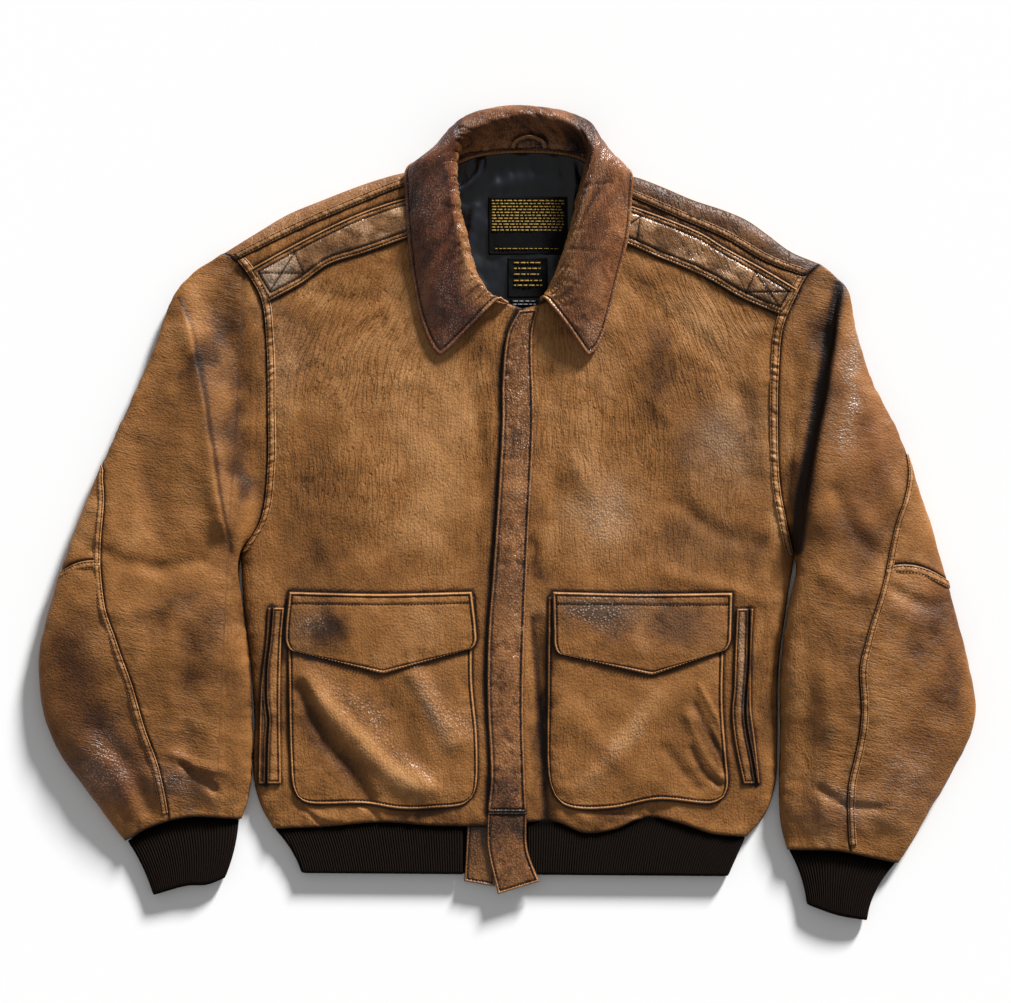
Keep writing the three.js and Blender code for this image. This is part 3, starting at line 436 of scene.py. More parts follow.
def leather(name, roughness=0.50):
    """Aniline-dyed goatskin. Base colour: three ramps, mixed by the mesh's red and ash marks, all
    read at tone plus blotches, less the valleys of grain and crinkles; where the mesh is polished,
    a painted sheen makes the pebble tops pale. Bump: the same valleys."""
    material, tree, shader = new_finish(name)
    math = lambda what, a, b: node(tree, "ShaderNodeMath", {0: a, 1: b}, operation=what).outputs[0]
    attribute = lambda mark: node(tree, "ShaderNodeAttribute", attribute_name=mark)
    place = node(tree, "ShaderNodeTexCoord").outputs["Object"]
    stain_and_shade = node(tree, "ShaderNodeSeparateXYZ", {0: attribute("stain_and_shade").outputs["Vector"]})
    polish, crease = attribute("polish").outputs["Fac"], attribute("crease").outputs["Fac"]
    lie = attribute("lie").outputs["Vector"]

    def noise(vector, scale, detail, rough, **more):
        return node(tree, "ShaderNodeTexNoise", {"Vector": vector, "Scale": scale, "Detail": detail,
                                                 "Roughness": rough, **more}).outputs["Fac"]
    blotch = noise(place, 1 / (BLOTCH * MM), 2.5, 0.5)
    speckle = noise(place, 1 / (5 * MM), 3.0, 0.6)
    pores = noise(place, 1 / (PORE * MM), 2.0, 0.6)

    def divided(size):
        return node(tree, "ShaderNodeMapping", {
            "Vector": lie, "Scale": (1 / size[0], 1 / size[1], 1 / size[0])}).outputs[0]
    pebbles = node(tree, "ShaderNodeTexVoronoi", {
        "Vector": divided(PEBBLE), "Scale": 1.0, "Smoothness": 0.5}, feature="SMOOTH_F1").outputs["Distance"]
    wander = noise(divided(CRINKLE), 1.0, 1.0, 0.5, Distortion=0.25)
    line = node(tree, "ShaderNodeMapRange", {
        "Value": math("ABSOLUTE", math("SUBTRACT", wander, 0.5), 0.0), "From Max": 0.045, "To Min": 1.0,
        "To Max": 0.0}, interpolation_type="SMOOTHSTEP").outputs[0]
    cut = math("MULTIPLY", line, crease)

    clouds = math("ADD", math("MULTIPLY", math("SUBTRACT", blotch, 0.5), 0.34),
                  math("MULTIPLY", math("SUBTRACT", speckle, 0.5), 0.03))
    valleys = math("ADD", math("MULTIPLY", math("SUBTRACT", 0.42, pebbles), 0.13),
                   math("MULTIPLY", cut, -0.12))
    tone = math("ADD", math("MULTIPLY", stain_and_shade.outputs["X"], 0.5), 0.54)
    value = math("ADD", tone, math("ADD", clouds, valleys))

    # Painted sheen: where the mesh is polished, the pebble tops are painted pale in place of glints
    tops = node(tree, "ShaderNodeMapRange", {"Value": pebbles, "From Min": 0.38, "From Max": 0.12},
                interpolation_type="SMOOTHSTEP").outputs[0]
    sheen_strength = math("MAXIMUM", math("SUBTRACT", polish, 0.45), 0.0)
    painted_sheen_share = math("MULTIPLY", tops, math("MULTIPLY", sheen_strength, 0.72))

    tan, red, ash = (ramp(tree, value, codes) for codes in (TAN, RED_BROWN, ASHEN))
    mix = lambda share, a, b: node(tree, "ShaderNodeMix", {0: share, 6: a, 7: b},
                                   data_type="RGBA").outputs[2]
    base = mix(stain_and_shade.outputs["Z"], mix(stain_and_shade.outputs["Y"], tan, red), ash)
    base = mix(painted_sheen_share, base, colour(PEBBLE_SHEEN))
    tree.links.new(base, shader.inputs["Base Color"])

    tree.links.new(math("ADD", 0.21, math("MULTIPLY", polish, 0.46)), shader.inputs["Specular IOR Level"])
    shine = math("MULTIPLY", polish, math("ADD", 0.10, math("MULTIPLY", blotch, 0.22)))
    dull = math("ADD", roughness, math("MULTIPLY", math("SUBTRACT", pores, 0.5), 0.2))
    tree.links.new(math("SUBTRACT", dull, shine), shader.inputs["Roughness"])

    grain = math("ADD", 0.42, math("MULTIPLY", polish, 0.32))
    height = math("SUBTRACT", math("MULTIPLY", math("MULTIPLY", pebbles, -1.0), grain),
                  math("MULTIPLY", cut, 0.7))
    height = math("ADD", height, math("MULTIPLY", pores, 0.10))
    height = math("ADD", height, math("MULTIPLY", math("MULTIPLY", wander, crease), 1.6))
    bump = node(tree, "ShaderNodeBump", {"Height": height, "Strength": 0.8, "Distance": 1.0 * MM})
    tree.links.new(bump.outputs[0], shader.inputs["Normal"])
    return material


worn_goatskin = leather("aniline_goatskin")
polished_goatskin = leather("polished_goatskin", 0.42)
print("leather finishes made")

# %% Knit, satin, tape and thread
def cloth(name, dark, light, roughness, fibre, depth, shine=0.2):
    """A fabric: its colour runs between two shades by the mesh's tone mark and a fibre pattern."""
    material, tree, shader = new_finish(name)
    place = node(tree, "ShaderNodeTexCoord").outputs["Object"]
    stain_and_shade = node(tree, "ShaderNodeSeparateXYZ", {0: node(
        tree, "ShaderNodeAttribute", attribute_name="stain_and_shade").outputs["Vector"]}).outputs["X"]
    fuzz = node(tree, "ShaderNodeTexNoise", {"Vector": place, "Scale": 1 / (fibre * MM), "Detail": 4.0,
                                             "Roughness": 0.7}).outputs["Fac"]
    value = node(tree, "ShaderNodeMath", {0: stain_and_shade, 1: fuzz}, operation="ADD").outputs[0]
    tree.links.new(ramp(tree, value, [dark, dark, light, light]), shader.inputs["Base Color"])
    shader.inputs["Roughness"].default_value = roughness
    shader.inputs["Specular IOR Level"].default_value = shine
    bump = node(tree, "ShaderNodeBump", {"Height": fuzz, "Strength": 0.6, "Distance": depth * MM})
    tree.links.new(bump.outputs[0], shader.inputs["Normal"])
    return material


wool_rib = cloth("wool_rib_knit", "#060403", "#1f1813", 0.95, 0.9, 0.4, shine=0.05)
satin = cloth("acetate_satin", "#04060a", "#10141c", 0.36, 6.0, 0.15, shine=0.5)
woven_tape = cloth("woven_tape", "#050505", "#101012", 0.85, 0.7, 0.2, shine=0.1)
gold_thread = cloth("gold_thread", "#665022", "#b89848", 0.6, 0.6, 0.1)
grey_thread = cloth("grey_thread", "#6c6f73", "#a3a6aa", 0.6, 0.6, 0.1)
dark_thread = cloth("waxed_thread", "#140b05", "#33200f", 0.7, 0.6, 0.1, shine=0.1)
print("cloth finishes made")

# %% Floor
FLOOR_SIZE, FLOOR_DROP = 6.0, 0.0004  # in metres; it lies just clear of the jacket
floor = bpy.data.objects.new("floor", bpy.data.meshes.new("floor"))
floor.data.from_pydata([(sx * FLOOR_SIZE, sy * FLOOR_SIZE, -FLOOR_DROP) for sx, sy in
                        ((-1, -1), (1, -1), (1, 1), (-1, 1))], [], [(0, 1, 2, 3)])
paper, _, paper_shader = new_finish("white_paper")
paper_shader.inputs["Base Color"].default_value = (0.93, 0.93, 0.93, 1)
paper_shader.inputs["Roughness"].default_value = 0.95
paper_shader.inputs["Specular IOR Level"].default_value = 0.0
floor.data.materials.append(paper)
bpy.context.scene.collection.objects.link(floor)

# %% [markdown]
# ## The lines of the pattern
#
# These are the seams of the body, as corners and the few points that each seam bends through.
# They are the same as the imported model's, so the fine pieces lie where its solids are.

# %% Body lines
LEATHER, KNIT, SATIN, TAPE, SEAM_GAP = 1.8, 3.0, 1.0, 1.0, 0.3
BODY_HEIGHT, BODY_RIM, HEM_HEIGHT, HEM_OVERLAP = 11.0, 4.5, 10.6, 2.0
WAISTBAND_HEIGHT, CUFF_HEIGHT = 8.2, 9.6
SIDE_ROUNDING, SHOULDER_ROUNDING, BACK_ROUNDING = 14.0, 15.0, 5.0
NECK_LIFT, FLAP_LIFT = 2.6, 0.7
FAN = 2.1  # how slowly the rows of a sleeve leave the underarm

LEFT_SHOULDER_TIP, RIGHT_SHOULDER_TIP = (-270, 247), (297, 237)
LEFT_UNDERARM, RIGHT_UNDERARM = (-254, -39), (273, -42)
LEFT_SEAM_END, RIGHT_SEAM_END = (-258, 240), (284, 224)
LEFT_NECK, RIGHT_NECK = (-53, 322), (86, 313)
LEFT_BACK_NECK, RIGHT_BACK_NECK = (-57, 331), (90, 328)
LEFT_HEM_END, RIGHT_HEM_END = (-223, -300), (228, -308)
COLLAR_MEETING, HEM_MEETING = (14, 194), (-10, -298)

left_armhole = smooth_path([LEFT_SHOULDER_TIP, LEFT_SEAM_END, (-244, 222), (-234, 202), (-229, 155),
                            (-228, 95), (-228, 46), (-235, -7), LEFT_UNDERARM])
right_armhole = smooth_path([RIGHT_SHOULDER_TIP, RIGHT_SEAM_END, (274, 205), (262, 176), (258, 136),
                             (257, 79), (259, 27), (266, -12), RIGHT_UNDERARM])
left_side = backwards(smooth_path([LEFT_UNDERARM, (-251, -92), (-245, -140), (-241, -197), (-242, -249),
                                   (-235, -278), LEFT_HEM_END]))
right_side = backwards(smooth_path([RIGHT_UNDERARM, (265, -92), (258, -149), (257, -216), (255, -258),
                                    (245, -287), RIGHT_HEM_END]))
left_shoulder = smooth_path([LEFT_SHOULDER_TIP, (-236, 268), (-209, 284), (-175, 298), (-136, 313),
                             (-102, 323), (-80, 326), LEFT_BACK_NECK])
right_shoulder = smooth_path([RIGHT_BACK_NECK, (105, 323), (124, 319), (148, 310), (176, 298), (206, 288),
                              (227, 279), (246, 266), (269, 249), RIGHT_SHOULDER_TIP])
left_shoulder_seam = smooth_path([LEFT_SEAM_END, (-194, 271), (-140, 294), (-97, 311), LEFT_NECK])
right_shoulder_seam = smooth_path([RIGHT_NECK, (119, 299), (167, 278), (206, 261), (246, 238),
                                   RIGHT_SEAM_END])
left_neckline = smooth_path([LEFT_NECK, (-49, 297), (-42, 261), (-31, 227), (-16, 207), COLLAR_MEETING])
right_neckline = smooth_path([RIGHT_NECK, (79, 287), (71, 257), (61, 230), (48, 213), (31, 199),
                              COLLAR_MEETING])
back_neckline = smooth_path([LEFT_BACK_NECK, (-31, 341), (19, 345), (67, 340), RIGHT_BACK_NECK])
closure = smooth_path([COLLAR_MEETING, (8, 150), (4, 89), (-4, -45), (-9, -130), (-9, -216), HEM_MEETING])
back_hem = smooth_path([LEFT_HEM_END, (-100, -297), (0, -297), (120, -300), RIGHT_HEM_END])
left_hem = smooth_path([LEFT_HEM_END, (-172, -298), (-121, -294), (-74, -297), HEM_MEETING])
right_hem = smooth_path([HEM_MEETING, (43, -293), (73, -304), (101, -301), (133, -289), (160, -294),
                         (195, -305), RIGHT_HEM_END])

CHAIN = np.linspace(0, 1, 41)
SIDE_CHAINS = [left_side(CHAIN), right_side(CHAIN)]
SHOULDER_CHAINS = [left_shoulder(CHAIN), right_shoulder(CHAIN)]
HEM_CHAINS = [left_hem(CHAIN), right_hem(CHAIN)]

# %% Outlines of the layers
def four_sides(bottom, right, top, left):
    """Edge curves from the points of the bottom and top, left to right, and from those between
    them on the right and the left, upwards."""
    return {"bottom": smooth_path(bottom), "top": smooth_path(top),
            "right": smooth_path([bottom[-1], *right, top[-1]]),
            "left": smooth_path([bottom[0], *left, top[0]])}


def strip_edges(left, right):
    """Edge curves of a strip from its two long sides, both drawn downwards."""
    left, right = backwards(smooth_path(left)), backwards(smooth_path(right))
    return {"left": left, "right": right, "bottom": smooth_path([left(0.0), right(0.0)]),
            "top": smooth_path([left(1.0), right(1.0)])}


POCKET_LEFT = four_sides(
    [(-199, -269), (-190, -275), (-135, -276), (-101, -281), (-68, -280), (-43, -277), (-34, -270)],
    [(-30, -260), (-29, -215), (-34, -155)], [(-209, -80), (-120, -80), (-32, -80)],
    [(-203.5, -259), (-206, -231), (-208, -135)])
POCKET_RIGHT = four_sides(
    [(45, -268), (54, -277), (70, -281), (101, -280), (143, -272), (194, -275.5), (205, -270)],
    [(209, -259), (207, -225), (204, -178)], [(39, -80), (120, -80), (207, -80)], [(39.5, -252), (38, -168)])
POCKET_FLAP_LEFT = four_sides(
    [(-200, -131.5), (-38, -129.5)], [(-32.5, -127), (-29.8, -121), (-30, -112)],
    [(-207, -75), (-120, -77), (-34, -75)], [(-206.5, -129), (-210, -122.5), (-210.5, -112)])
POCKET_FLAP_LEFT["bottom"] = bent([(-200, -131.5), (-118, -152.5), (-38, -129.5)])
POCKET_FLAP_RIGHT = four_sides(
    [(54, -134.5), (200, -131.8)], [(207.5, -129), (211.3, -122), (212, -112)],
    [(43, -75), (126, -77), (213, -76)], [(47.5, -132), (44.5, -125), (44, -112)])
POCKET_FLAP_RIGHT["bottom"] = bent([(54, -134.5), (137, -154), (200, -131.8)])
STRAP_LEFT = four_sides(
    [(-227, 201), (-196, 218), (-170, 236), (-136, 247), (-97, 261), (-66, 272)], [],
    [(-245, 231), (-209, 251), (-172, 270), (-136, 286), (-93, 300), (-66, 306)], [])
STRAP_RIGHT = four_sides(
    [(98, 260), (116, 255), (141, 244), (186, 225), (225, 203), (261, 188)], [],
    [(101, 296), (119, 291), (183, 266), (206, 252), (246, 230), (276, 212)], [])

# The welts: two lips with a slit between them
SLIT_LEFT = [(-223.8, -90), (-226.2, -121), (-229.4, -149), (-229.4, -178), (-227.4, -197), (-228.5, -216),
             (-229.4, -257)]
SLIT_RIGHT = [(229.4, -91), (228.4, -140), (225.4, -187), (227, -206), (232.5, -235), (236, -257)]
WELT_LEFT_BORDERS = (
    [(-227.5, -90), (-229.4, -121), (-232.7, -149), (-234.4, -168), (-235.9, -216), (-236.7, -257)],
    [(-212, -90), (-214.6, -121), (-216, -178), (-215, -257)])
WELT_RIGHT_BORDERS = (
    [(217.6, -91), (216, -130), (214.8, -168), (213, -187), (215.6, -216), (224, -257)],
    [(233.4, -91), (231.6, -130), (231, -168), (231.4, -187), (235.1, -216), (239.6, -257)])
SLIT_WIDTH = 1.5


def shifted(points, step):
    return [(x + step, y) for x, y in points]


WELTS = {
    "welt_left_outer": strip_edges(WELT_LEFT_BORDERS[0], shifted(SLIT_LEFT, -SLIT_WIDTH / 2)),
    "welt_left_inner": strip_edges(shifted(SLIT_LEFT, SLIT_WIDTH / 2), WELT_LEFT_BORDERS[1]),
    "welt_right_inner": strip_edges(WELT_RIGHT_BORDERS[0], shifted(SLIT_RIGHT, -SLIT_WIDTH / 2)),
    "welt_right_outer": strip_edges(shifted(SLIT_RIGHT, SLIT_WIDTH / 2), WELT_RIGHT_BORDERS[1])}

FLAP_LEFT = [(11, 192), (0, 170), (-5, 122), (-5, 89), (-13, -45), (-18, -110), (-19, -176), (-16, -252),
             (-19, -284)]
FLAP_RIGHT = [(29, 194), (24, 170), (25, 89), (19, -45), (15, -176), (17, -263), (18, -284)]
WIND_FLAP = strip_edges(FLAP_LEFT, FLAP_RIGHT)
WIND_FLAP_TAB = strip_edges([(-19, -284), (-19, -317), (-9, -362)], [(18, -284), (19, -320), (30, -350)])
UNDER_TAB = strip_edges([(-38, -295), (-41, -350)], [(-8, -295), (-12, -355)])

# Painted shade and grime darken the ground along these outlines, slits, edges and folds: chain, width,
# strength
SHADE_AND_GRIME = [(outline_of(edges), width, strength) for edges, width, strength in (
    (POCKET_LEFT, 1.8, 1.1), (POCKET_RIGHT, 1.8, 1.1), (POCKET_FLAP_LEFT, 2.4, 1.2),
    (POCKET_FLAP_RIGHT, 2.4, 1.2), (STRAP_LEFT, 2.4, 1.2), (STRAP_RIGHT, 2.4, 1.2))]
SHADE_AND_GRIME += [(outline_of(edges), 1.8, 0.7) for edges in WELTS.values()]
SHADE_AND_GRIME += [(smooth_path(line)(CHAIN), 2.5, 1.6) for line in (SLIT_LEFT, SLIT_RIGHT)]
SHADE_AND_GRIME += [(smooth_path(FLAP_LEFT)(CHAIN), 3.6, 1.4), (smooth_path(FLAP_RIGHT)(CHAIN), 1.0, 0.2)]
# Painted shade in the folds at the front of the right and left sleeves, and in the one beside the closure
SHADE_AND_GRIME += [(smooth_path(line)(CHAIN), width, strength) for line, width, strength in (
    ([(316, 216), (310, 190), (302.5, 142), (296.5, 110), (290.5, 79), (285.5, 50), (279.5, 15), (274, -34)],
     4.5, 1.7),
    ([(-312, 205), (-301, 183), (-291, 141), (-280, 79), (-270, 12), (-261, -36)], 1.8, 0.55),
    ([(24, -100), (31, -190), (37, -290)], 3.0, 0.7))]
HALO, HALO_REACH = 0.09, 7  # strength and reach of the faint darkness beside each line


def shade_and_grime(x, y):
    """Painted shade and grime beside the outlines: a sharp dark line and a faint wide one."""
    total = np.zeros(np.shape(x))
    for chain, width, strength in SHADE_AND_GRIME:
        away = distance_to(chain, x, y)
        total = total + strength * (bell(away, width) + HALO * np.exp(-away / HALO_REACH))
    return -total

# %% [markdown]
# ## Heights
#
# The fronts lie a few millimetres above the back and round down to it at the sides and the
# shoulders. Big folds are ridges and troughs along drawn lines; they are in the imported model
# too. Smaller ones are only here.

# %% Heights of the body
# Each fold: a line, how far it stands up (or sinks), and half its width
BIG_FOLDS = [
    ([(-310, 205), (-300, 157), (-286, 105), (-278, 50), (-268, -5)], 4, 14),
    ([(-272, 195), (-256, 120), (-250, 40)], -3.5, 12),
    ([(303, 168), (293, 110), (284, 50), (274, -5)], -4, 9),
    ([(333, 165), (322, 105), (308, 45), (296, -10)], 3, 15),
    ([(27, -105), (31, -190), (37, -290)], -3.5, 8),
    ([(-190, -162), (-144, -208), (-112, -246), (-76, -264)], 2.0, 14),
    ([(120, 150), (80, 40), (60, -60)], 2, 26),
    ([(-150, 140), (-150, 20)], 2.5, 50),
]
SMALL_FOLDS = [
    ([(-196, -165), (-172, -215), (-150, -240), (-131, -272)], -1.6, 7),
    ([(-86, -150), (-60, -190), (-46, -215)], 1.6, 8),
    ([(-150, -175), (-110, -222), (-70, -262)], 0.8, 5),
    ([(-215, 176), (-205, 120), (-206, 60)], 1.2, 10),
    ([(-196, 215), (-150, 200), (-110, 205)], -0.9, 10),
    ([(-40, 170), (-26, 60), (-28, -40)], -0.8, 8),
    ([(112, 222), (150, 190), (196, 150), (232, 90)], -1.3, 11),
    ([(95, 180), (130, 130), (160, 60), (190, 0)], 1.0, 12),
    ([(240, 170), (236, 110), (246, 40)], 1.0, 9),
    ([(40, 130), (46, 20), (42, -60)], -1.0, 9),
    ([(70, 40), (95, -20), (110, -60)], 0.9, 12),
    ([(160, 10), (200, -20), (240, -30)], -1.1, 8),
    ([(150, -60), (200, -70), (245, -84)], 0.9, 7),
    ([(60, -190), (100, -230), (150, -262)], 0.9, 12),
    ([(150, -225), (185, -262), (205, -240)], -1.2, 6),
    ([(170, -190), (198, -215), (204, -250)], 0.9, 5),
    ([(-205, -265), (-186, -285), (-160, -292)], 0.9, 5),
    ([(56, -262), (72, -290), (88, -298)], 0.9, 6),
    ([(120, -280), (134, -284), (150, -280)], -1.0, 5),
    ([(-200, -276), (-188, -286), (-174, -298)], -1.3, 2.6),
    ([(-138, -278), (-128, -284), (-119, -298)], -1.3, 2.6),
    ([(96, -284), (118, -287), (134, -289)], -1.2, 2.4),
    ([(134, -276), (136, -284), (142, -292)], -1.2, 2.4),
]


def nearest(chains, x, y):
    return np.minimum.reduce([distance_to(chain, x, y) for chain in chains])


# A tuck is a fold that stops at a sharp line: the line, the side that stands up, and its rise
TUCKS = [
    ([(-313, 210), (-302, 183), (-292, 141), (-281, 79), (-271, 12), (-262, -36)], -1, 4.5),
    ([(318, 222), (312, 190), (305, 142), (299, 110), (293, 79), (288, 50), (282, 15), (277, -28)], 1, 6.5),
]
TUCK_WIDTH = 17


def tucks(x, y):
    """Each rises within 4 mm of its line, falls away as a bell curve and fades at its two ends."""
    total = np.zeros(np.shape(x))
    for line, side, rise in TUCKS:
        chain = smooth_path(line)(CHAIN)
        past = side * (x - np.interp(-y, -chain[:, 1], chain[:, 0]))
        top, foot = line[0][1], line[-1][1]
        fade = smoothstep(y, foot, foot + 30) * (1 - smoothstep(y, top - 20, top))
        total = total + rise * fade * smoothstep(past, -1.5, 2.5) * bell(np.maximum(past, 0), TUCK_WIDTH)
    return total


def body_top(x, y):
    """Rim height plus the rest of the height times two quarter rounds, at sides and shoulders."""
    edge = rounded(nearest(SIDE_CHAINS, x, y), SIDE_ROUNDING)
    edge = edge * rounded(nearest(SHOULDER_CHAINS, x, y), SHOULDER_ROUNDING)
    full = BODY_HEIGHT + folds(BIG_FOLDS, x, y) + 1.3 * folds(SMALL_FOLDS, x, y)
    return BODY_RIM + (full - BODY_RIM) * edge


def front_top(x, y):
    """The body's top, brought down to the waistband by one more quarter round at the hem."""
    full = body_top(x, y)
    edge = rounded(nearest(HEM_CHAINS, x, y), SIDE_ROUNDING)
    return np.where(full > HEM_HEIGHT, HEM_HEIGHT + (full - HEM_HEIGHT) * edge, full)


def back_underside(x, y):
    """The surface itself, lifted at the neck by the collar leaf beneath, turned up at the rims."""
    lift = NECK_LIFT * smoothstep(y, 285, 312) * smoothstep(125 - np.abs(x - 17), 0, 25)
    turn = 1 - rounded(np.minimum(nearest(SIDE_CHAINS, x, y), nearest(SHOULDER_CHAINS, x, y)), BACK_ROUNDING)
    return lift + (BODY_RIM - lift) * turn


# %% [markdown]
# ## Where the leather is dark, red, rubbed or shiny
#
# Wear is not random: palms darken pocket flaps, the sun bleaches a chest, an elbow reddens.
# Some marks also paint shade beside folds, and highlights on ridges.
# Each mark is a soft ellipse, whose edge is made ragged by moving the point before it is
# measured. The marks are placed one by one, more than a hundred for the whole jacket.

# %% Marks of wear, with painted shade and highlights
# Most dark and light marks are stains and fading. The dark ones beside the right sleeve's front fold, along
# the fold right of the wind flap and just above the hem are painted shade, and the light one on the right
# sleeve's ridge is a painted highlight.
# Each: x, y, half width, half height, strength, and the turn in degrees of those that have one
DARK_OR_LIGHT = [
    (-256, 26, 9, 22, -0.24), (401, -121, 12, 18, 0.28), (373, -121, 10, 16, -0.18),
    (-254, -35, 10, 14, 0.22), (-262, -215, 26, 34, -0.22), (259, -7, 7, 14, 0.2),
    (-368, 50, 12, 22, -0.16), (173, 60, 14, 16, -0.16), (31, -263, 8, 14, -0.2), (173, -238, 12, 12, 0.18),
    (-226, -50, 12, 16, -0.14), (340, -8, 16, 14, -0.12), (-140, -235, 22, 20, 0.18),
    (-197, -178, 12, 16, 0.24), (-169, -206, 14, 14, 0.16), (2, 79, 9, 30, 0.2), (2, -20, 9, 30, 0.2),
    (2, -178, 9, 30, 0.16), (-226, 215, 12, 14, 0.2), (-83, 215, 12, 40, 0.3), (-55, 164, 16, 12, 0.25),
    (31, 164, 10, 14, 0.28), (59, 107, 16, 16, -0.2), (145, 164, 16, 14, -0.2), (230, 79, 12, 18, -0.2),
    (31, -20, 10, 22, -0.2), (202, -235, 14, 14, -0.2), (173, -92, 18, 10, -0.16),
    (-112, -292, 22, 8, -0.16), (-169, 221, 18, 10, -0.18), (259, 250, 18, 14, -0.18),
    (-254, -80, 12, 120, -0.2), (-284, 150, 14, 46, -0.16), (-340, -10, 24, 110, -0.14),
    (330, -36, 26, 30, -0.14), (373, -263, 16, 16, -0.16), (-197, 12, 52, 62, -0.2),
    (-169, -30, 60, 36, -0.12), (-83, 107, 58, 70, 0.2), (-102, -28, 52, 28, 0.12), (-60, 31, 36, 62, 0.14),
    (-196, 178, 46, 26, -0.08, 30), (-174, -110, 17, 27, -0.78), (-92, -106, 45, 22, 0.12),
    (-205, -96, 10, 24, -0.3), (-176, -215, 16, 52, -0.38, 32), (-196, -170, 14, 40, -0.25),
    (-120, -200, 80, 66, -0.18), (78, 107, 30, 85, 0.2), (128, 117, 26, 50, -0.16, -10),
    (207, 66, 40, 42, 0.06, 10), (185, -28, 62, 28, -0.14, -8), (190, 170, 40, 30, 0.26, -30),
    (90, 0, 38, 30, 0.22), (84, -97, 34, 19, -0.46), (165, -106, 30, 20, -0.34), (126, -108, 14, 20, 0.2),
    (98, -205, 60, 60, -0.12), (185, -215, 24, 50, -0.36, -12), (245, -190, 14, 80, -0.2),
    (-378, 12, 38, 60, 0.04, -15), (-258, 84, 18, 100, -0.26), (-258, 190, 22, 26, -0.2),
    (-276, 60, 20, 60, -0.2), (-376, -232, 34, 44, -0.3, 20), (-408, -168, 36, 66, -0.34, 10),
    (-300, -160, 34, 70, -0.22), (-296, -252, 26, 16, -0.3), (-415, -110, 20, 60, -0.22),
    (335, 130, 10, 62, 0.1, -12), (300, 160, 16, 60, -0.5), (290, 20, 22, 70, -0.34, -8),
    (350, 30, 34, 64, -0.18), (412, -125, 30, 64, -0.32), (306, -160, 24, 76, -0.2),
    (335, -110, 40, 50, -0.1), (380, -255, 30, 34, 0.02), (34, -190, 7, 100, -0.55),
    (-60, -288, 60, 8, -0.4), (120, -290, 60, 8, -0.4), (-110, 235, 46, 12, -0.12, 15),
    (-22, 100, 8, 130, -0.25), (-206, -285, 22, 16, -0.1), (2, -292, 17, 12, -0.35),
    (60, -60, 70, 14, -0.12), (-120, -60, 90, 14, -0.12), (-280, 165, 15, 50, -0.5, -12),
    (-252, 90, 10, 110, -0.22), (-219, 130, 9, 100, 0.28), (-226, -180, 10, 90, 0.4),
    (-330, 105, 30, 30, -0.22), (-318, -80, 40, 40, -0.2), (-286, -112, 18, 30, -0.26),
    (-196, 206, 22, 18, 0.2), (34, -40, 8, 30, -0.4), (145, 140, 13, 50, -0.32, 10),
    (258, 10, 10, 60, 0.42), (230, -35, 13, 18, -0.45), (330, -15, 30, 22, -0.32),
    (400, -125, 26, 30, -0.26), (231, -150, 9, 70, 0.3), (-70, -62, 32, 12, 0.28),
    (-169, -35, 18, 16, -0.28), (0, -266, 16, 14, -0.4), (285, 118, 9, 30, -0.28), (277, 25, 7, 40, -0.35),
    (392, -270, 30, 26, -0.16), (425, -200, 14, 80, -0.12), (-112, -150, 20, 10, 0.25),
    (-100, -262, 30, 8, 0.2, -20),
]
REDDENED = [
    (-415, -185, 30, 56, 0.4, 10), (-365, -250, 32, 34, 0.6), (-300, -252, 28, 18, 0.4),
    (415, -110, 30, 76, 0.3), (322, -284, 40, 20, 0.35), (345, 60, 24, 90, 0.4, -8),
    (325, 140, 20, 60, 0.25), (392, -240, 30, 40, 0.25), (150, -110, 60, 26, 0.2),
]
# Grey patches: partly greyed leather, partly a painted sheen where the leather is polished, as along the
# right sleeve's ridge and on the right chest
GREY_AND_SHEEN_SPOTS = [
    (207, 66, 36, 40, 0.6), (88, -90, 42, 12, 0.8), (-185, -108, 22, 26, 0.3), (185, -28, 50, 24, 0.25),
    (-207, 150, 18, 34, 0.25), (-222, 196, 14, 20, 0.3), (330, 130, 8, 56, 0.55, -12),
    (92, 0, 26, 24, 0.35), (-310, -262, 20, 12, 0.4), (165, -104, 34, 16, 0.25), (380, -250, 26, 30, 0.25),
    (322, -276, 30, 14, 0.3),
]
# Polish makes the leather glossier; where it is high, the finish also paints a pale sheen on the pebble tops
POLISHED = [
    (207, 66, 34, 36, 0.7), (88, -90, 40, 14, 1.1), (92, 0, 30, 30, 1.1), (-127, -204, 12, 80, 1.3, 50),
    (-66, -180, 11, 36, 1.2, 36), (110, -214, 9, 45, 1.1, -38), (74, -102, 26, 17, 0.9, 10),
    (-76, -100, 30, 20, 0.4), (-185, -100, 10, 18, 0.5), (-55, -185, 18, 40, 0.6, 30),
    (-310, -258, 24, 14, 0.9), (-376, -238, 30, 36, 1.0, 30), (328, 120, 8, 70, 1.2, -12),
    (378, -75, 22, 16, 0.5), (385, -250, 20, 30, 0.6), (85, 165, 18, 14, 0.8), (-207, 150, 24, 40, 0.4),
    (-190, -104, 16, 24, 0.7), (322, -276, 30, 16, 0.7), (165, -104, 34, 20, 0.5),
    (-390, -130, 20, 40, 0.3), (12, 20, 10, 200, 0.5),
]


WANDER, TATTER = (10, 34), (3, 9)  # how far a mark's edge is moved, and the size of the swells there


def ragged(x, y, shift):
    """How far a point is moved one way before the marks are measured there."""
    return WANDER[0] * swells(x, y, WANDER[1], shift) + TATTER[0] * swells(x, y, TATTER[1], shift + 1, 2)


